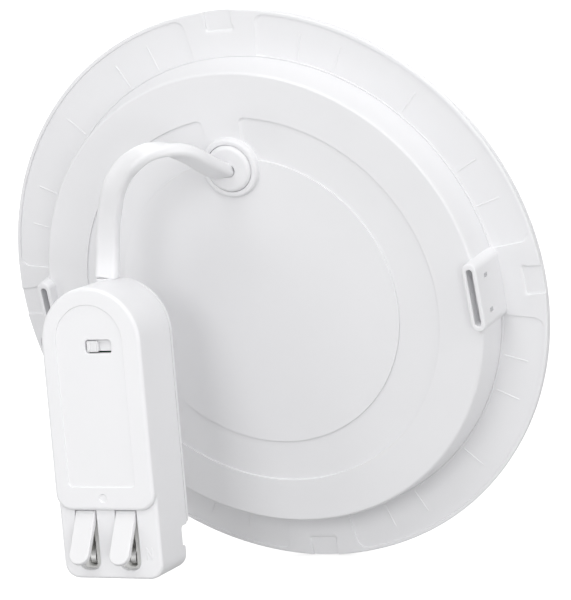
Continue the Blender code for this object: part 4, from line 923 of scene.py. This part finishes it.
def box_loop(left, right, low, high, corner, steps=6):
    """A rectangle with round corners, counterclockwise."""
    loop = arc((right - corner, low + corner), corner, -90, 0, steps)
    loop += arc((right - corner, high - corner), corner, 0, 90, steps)
    loop += arc((left + corner, high - corner), corner, 90, 180, steps)
    loop += arc((left + corner, low + corner), corner, 180, 270, steps)
    return np.array(loop)


window_across, window_up = 2.25, 67.3
left, right = window_across - 4.1, window_across + 4.1
window = box_loop(left, right, window_up - 1.95, window_up + 1.95, 1.0)
window_edge = shell.sunk(window, cover_face - label_depth, 1.5, 0.35, 0.05)[0]
shell.flat(cover_face - label_depth, field, [window_edge])

matt_white = plastic("matt_white_driver", (0.83, 0.83, 0.845), 0.44, 0.02, 50.0, 2600.0, 0.00003)
piece = shell.made("driver_moulding", matt_white, "luminaire", driver_place, "white_driver")
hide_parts("driver_shell")

# Driver's back cover. A flat cover in the same matt white plastic, snapped into the
# shell's open back above the groove; only its edge shows past the split line.
back_cover = Shell()
cover_thickness, cover_inset, cover_round = 1.3, 0.15, 0.45
cover_edge = arched(half_width, 12.6, driver_top, 1.1, 0.0, upper_sides)
profile = [(-cover_inset, cover_thickness), (-0.04, 1.26), (0.0, 1.15), (0.0, cover_round)]
profile += arc((-cover_round, cover_round), cover_round, -degrees(0.2), -90, 4)
back_cover.around(cover_edge, profile)
back_cover.flat(0.0, shifted(cover_edge, -cover_round))
back_cover.flat(cover_thickness, shifted(cover_edge, -cover_inset))
piece = back_cover.made("back_cover", matt_white, "luminaire", driver_place, "white_driver")
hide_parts("driver_back")

# Push levers. Two glossy white levers that turn about pins behind the cover's lower
# edge; each has a round tip for the finger and a cam that opens its clamp.
lever_half = 3.15
lever_reach = 15.94
lever_corner, lever_open = 3.0, 30.0
pivot_height = 19.0
pivot_depth = 17.2


def plate(outline, low, high, edge=0.15, front=None):
    """A closed plate with rolled edges between two levels."""
    made = Shell()
    line = np.array(outline, float)
    x, y = line[:, 0], line[:, 1]
    if (x * np.roll(y, -1) - np.roll(x, -1) * y).sum() < 0:
        line = line[::-1]
    front = edge if front is None else front
    profile = arc((-edge, low + edge), edge, -90, 0, 4)
    profile += arc((-front, high - front), front, 0, 90, 4)
    made.around(line, profile)
    made.flat(low, shifted(line, -edge))
    made.flat(high, shifted(line, -front))
    return made


def spindle(profile, steps=32):
    """A closed turned piece, from a profile of (radius, level)."""
    made = Shell()
    made.turned(profile, (0.0, 0.0), steps)
    for radius, level in (profile[0], profile[-1]):
        made.flat(level, circle(radius, steps))
    return made


def add(whole, part, sideways=False):
    """Add a part to a shell. A sideways one was drawn from the side: up, out, across."""
    start = len(whole.points)
    whole.points += [(c, a, b) if sideways else (a, b, c) for a, b, c in part.points]
    whole.faces += [tuple(i + start for i in face) for face in part.faces]


tip, tip_level = lever_half - lever_corner, lever_corner - lever_reach
stops = (-10.0, -6.0, -2.0, 0.1)
lever_plan = arc((tip, tip_level), lever_corner, -90, 0, 14)
lever_plan += [(lever_half, z) for z in stops]
lever_plan += [(-lever_half, z) for z in stops[::-1]]
lever_plan += arc((-tip, tip_level), lever_corner, 180, 270, 14)
cam_half = 1.1
cam_side = [(-1.6, 1.0), (0.0, 1.0), (0.45, -0.45), (-2.0, -3.4), (-3.2, -3.4)]
cam_side += [(-3.4, -3.2), (-3.4, 0.0)]
pin_line = [(0.5, -4.05), (0.6, -3.95), (0.6, -2.95), (0.85, -2.85), (0.9, -2.75)]
pin_line += [(r, -level) for r, level in pin_line[::-1]]
glossy_white = plastic("glossy_white_lever", (0.79, 0.79, 0.80), 0.30, 0.015, 60.0, 3000.0, 0.00001)
for x, name in zip(lever_places, ("lever_left", "lever_right")):
    lever = plate(lever_plan, 0.2, 1.8, 0.2, 0.42)
    add(lever, plate(cam_side, -cam_half, cam_half), sideways=True)
    add(lever, spindle(pin_line), sideways=True)
    hinge = Matrix.Translation((x * mm, -pivot_depth * mm, pivot_height * mm))
    opened = driver_place @ hinge @ Matrix.Rotation(radians(-lever_open), 4, "X")
    piece = lever.made(name + "_arm", glossy_white, name, opened, "white_lever")
    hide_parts(name)

# Terminal insert. A cream nylon block under the levers: each lever closes on a ledge,
# and the clamp's mouth stands in the opening behind it.
insert = Shell()
insert_half = half_width - 2.2
insert_back, insert_face, mouth_depth = 7.0, 17.15, 8.6
block = box_loop(-insert_half, insert_half, 2.0, 17.4, 2.8)
openings = []
for x in lever_places:
    mouth = box_loop(x - 1.35, x + 1.35, 3.3, 17.0, 0.8)
    lip, bed = insert.sunk(mouth, insert_face, mouth_depth, 0.2, 0.1)
    insert.flat(insert_face - mouth_depth, bed)
    openings.append(lip)
profile = [(-0.3, insert_face), (-0.09, insert_face - 0.09), (0.0, insert_face - 0.3)]
profile += [(0.0, insert_back + 0.3), (-0.09, insert_back + 0.09), (-0.3, insert_back)]
insert.around(block, profile)
insert.flat(insert_face, shifted(block, -0.3), openings)
insert.flat(insert_back, shifted(block, -0.3))
for x in lever_places:
    for middle in (x - 3.6, x + 3.6):
        post = box_loop(middle - 0.4, middle + 0.4, 17.0, 20.2, 0.2, 3)
        add(insert, plate(post, 13.0, 16.3, 0.1))
shelf = box_loop(-insert_half, insert_half, 17.0, 20.4, 0.3, 3)
add(insert, plate(shelf, insert_back, 13.4, 0.2))
pale_nylon = plastic("pale_nylon", (0.82, 0.82, 0.80), 0.45, 0.03, 90.0, 1800.0)
piece = insert.made("terminal_block", pale_nylon, "luminaire", driver_place, "cream_nylon")
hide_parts("terminal_insert")


# Clamps. Each is a leaf of bright spring steel, bent over at its top, with a folded
# mouth that stands up in the insert's opening, where a wire goes in under the lever.
def rubbed_metal(sheen_change=0.18):
    """Plated metal: fine rolling lines, cloudy sheen and a slightly uneven tint."""
    tree, start, end = node_group("rubbed_metal", "Colour", "Sheen", "Line Size", "Tint")
    given = start.outputs
    place = tree.nodes.new("ShaderNodeTexCoord").outputs["Object"]
    stretch = step(tree, "ShaderNodeVectorMath", "MULTIPLY", _1=(1.0, 1.0, 0.06))
    tree.links.new(place, stretch.inputs[0])
    lines = noise(tree, stretch.outputs[0], given["Line Size"], Detail=4.0, Roughness=0.7)
    cloud = noise(tree, place, Detail=2.0, Scale=300.0)
    clouded(tree, start, end, cloud, given["Tint"])
    sheen = multiply_add(tree, lines, sheen_change, given["Sheen"])
    tree.links.new(sheen, end.inputs["Roughness"])
    tree.links.new(lines, end.inputs["Height"])
    return tree


rubbed = rubbed_metal()


def metal(name, colour, sheen, line_size=900.0, tint=0.08):
    """Plated metal with this piece's colour, sheen and line size."""
    values = dict(Colour=(*colour, 1.0), Sheen=sheen, Line_Size=line_size, Tint=tint)
    made = skinned(name, rubbed, 0.25, 0.00001, **values)
    made.node_tree.nodes["Principled BSDF"].inputs["Metallic"].default_value = 1.0
    return made


def leaf_line(points, thickness):
    """The closed outline of a bent leaf, from the line of its middle."""
    line = np.array(points)
    ahead = np.gradient(line, axis=0)
    ahead /= np.linalg.norm(ahead, axis=1)[:, None]
    out = np.c_[-ahead[:, 1], ahead[:, 0]] * thickness / 2
    return np.r_[line + out, (line - out)[::-1]]


leaf = arc((13.15, 12.15), 1.25, degrees(-0.3) - 90, 90, 13)
leaf = leaf_line([*leaf, (11.6, 13.36), (9.4, 12.6), (7.4, 11.4), (5.8, 10.35)], 0.36)
fold = [(8.6, 11.2), (8.3, 13.4), (7.9, 15.2), (7.3, 16.0), (6.4, 16.35), (5.2, 16.45)]
fold = leaf_line(fold + [(4.3, 16.2), (3.85, 15.5), (3.75, 13.5), (3.7, 11.0)], 0.34)
bright_steel = metal("bright_spring_steel", (0.78, 0.78, 0.77), 0.22, 1500.0, 0.10)
for x, mark in zip(lever_places, ("left", "right")):
    clamp = Shell()
    add(clamp, plate(leaf, x - 1.05, x + 1.05, 0.06), sideways=True)
    add(clamp, plate(fold, x - 0.95, x + 0.75, 0.06), sideways=True)
    name = "clamp_leaf_" + mark
    piece = clamp.made(name, bright_steel, "luminaire", driver_place, "spring_steel")
    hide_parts("clamp_spring_" + mark)

# Colour switch. The knob of a three-way slide switch stands in the window of the
# label field: a glossy white knob with two raised grips on a thin slider plate.
knob_across = window_across - 2.0
switch_place = driver_place @ Matrix.Translation((knob_across * mm, 0.0, window_up * mm))
knob = plate(box_loop(-1.85, 1.85, -1.6, 1.6, 0.6), 18.3, 20.0, 0.15, 0.3)
for x in (-1.0, 1.0):
    grip = box_loop(x - 0.5, x + 0.5, -1.25, 1.25, 0.3, 4)
    add(knob, plate(grip, 19.8, 20.3, 0.05, 0.2))
add(knob, plate(box_loop(-2.1, 7.6, -1.42, 2.25, 0.4, 4), 17.9, 18.9, 0.12))
for x in (-1.4, 1.4):
    prong = box_loop(x - 0.4, x + 0.4, -0.7, 0.7, 0.12, 3)
    add(knob, plate(prong, 16.6, 18.0, 0.08))
piece = knob.made("switch_knob", glossy_white, "colour_slider", switch_place, "white_lever")
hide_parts("cct_slider")

# Pieces inside the panel. White lacquered aluminium board with yellow light points,
# a white film tray, zinc-plated screws, a small connector and thin red wires.
parts = frame["nodes"]


def dressed(surface, *names):
    """Give a surface to CAD nodes."""
    for name in names:
        mesh = parts[name].data
        mesh.materials.clear()
        mesh.materials.append(surface)


def two_tone(made, top, level):
    """Give moulded skin another colour above a level along Y."""
    tree = made.node_tree
    shader = tree.nodes["Principled BSDF"]
    skin = next(n for n in tree.nodes if n.type == "GROUP")
    place = tree.nodes.new("ShaderNodeTexCoord")
    apart = tree.nodes.new("ShaderNodeSeparateXYZ")
    over = step(tree, "ShaderNodeMath", "GREATER_THAN", _1=level)
    mix = tree.nodes.new("ShaderNodeMix")
    mix.data_type = "RGBA"
    tree.links.new(place.outputs["Object"], apart.inputs[0])
    tree.links.new(apart.outputs["Y"], over.inputs[0])
    tree.links.new(over.outputs[0], mix.inputs["Factor"])
    tree.links.new(skin.outputs["Colour"], mix.inputs[6])
    mix.inputs[7].default_value = (*top, 1.0)
    tree.links.new(mix.outputs[2], shader.inputs["Base Color"])


lacquer = plastic("white_board_lacquer", (0.86, 0.87, 0.86), 0.35, 0.03, 120.0, 2500.0, 0.00001)
two_tone(lacquer, (0.88, 0.72, 0.22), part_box("led_board")[1][1] - 0.0004)
dressed(lacquer, "led_board")
tray_film = plastic("white_tray_film", (0.90, 0.90, 0.89), 0.50, 0.02, 30.0, 4000.0, 0.00001)
dressed(tray_film, "reflector")
zinc = metal("zinc_plate", (0.66, 0.68, 0.69), 0.26, 1200.0, 0.10)
dressed(zinc, "board_screw_1", "board_screw_2", "board_screw_3", "switch_body")
black_moulding = plastic("black_moulding", (0.028, 0.028, 0.030), 0.40, 0.12, 160.0)
dressed(black_moulding, "cord_stop", "switch_post")
cream = plastic("cream_connector", (0.80, 0.76, 0.64), 0.42, 0.04, 200.0)
dressed(cream, "board_connector", "fuse")
red_sleeve = plastic("red_wire_sleeve", (0.60, 0.035, 0.03), 0.32, 0.06, 400.0, 5000.0, 0.00001)
for kind in ("panel", "output", "input"):
    dressed(red_sleeve, kind + "_wire_left", kind + "_wire_right")
dressed(white_jacket, "driver_cord_end")

# Pieces inside the driver. A green glass-fibre board with the parts of a small isolated
# power supply; all of it is out of sight in the closed box.
tinned = metal("tinned_brass", (0.74, 0.69, 0.56), 0.24, 700.0, 0.12)
dressed(tinned, "busbar_left", "busbar_right")
weave = plastic("green_fibre_board", (0.035, 0.21, 0.085), 0.30, 0.16, 500.0, 900.0)
dressed(weave, "driver_board")
dressed(plastic("yellow_film_case", (0.80, 0.58, 0.07), 0.30, 0.05, 150.0), "film_capacitor")
package = plastic("black_package", (0.022, 0.022, 0.024), 0.46, 0.15, 220.0)
dressed(package, "bridge_rectifier", "driver_chip")
blue_sleeve = plastic("blue_sleeve", (0.022, 0.05, 0.25), 0.22, 0.10, 180.0)
dressed(blue_sleeve, "input_capacitor", "output_capacitor")
ferrite = plastic("dark_ferrite", (0.045, 0.046, 0.052), 0.55, 0.25, 350.0, 1500.0, 0.00004)
dressed(ferrite, "choke", "transformer_core")
dressed(plastic("winding_tape", (0.82, 0.60, 0.09), 0.26, 0.08, 120.0), "transformer_winding")
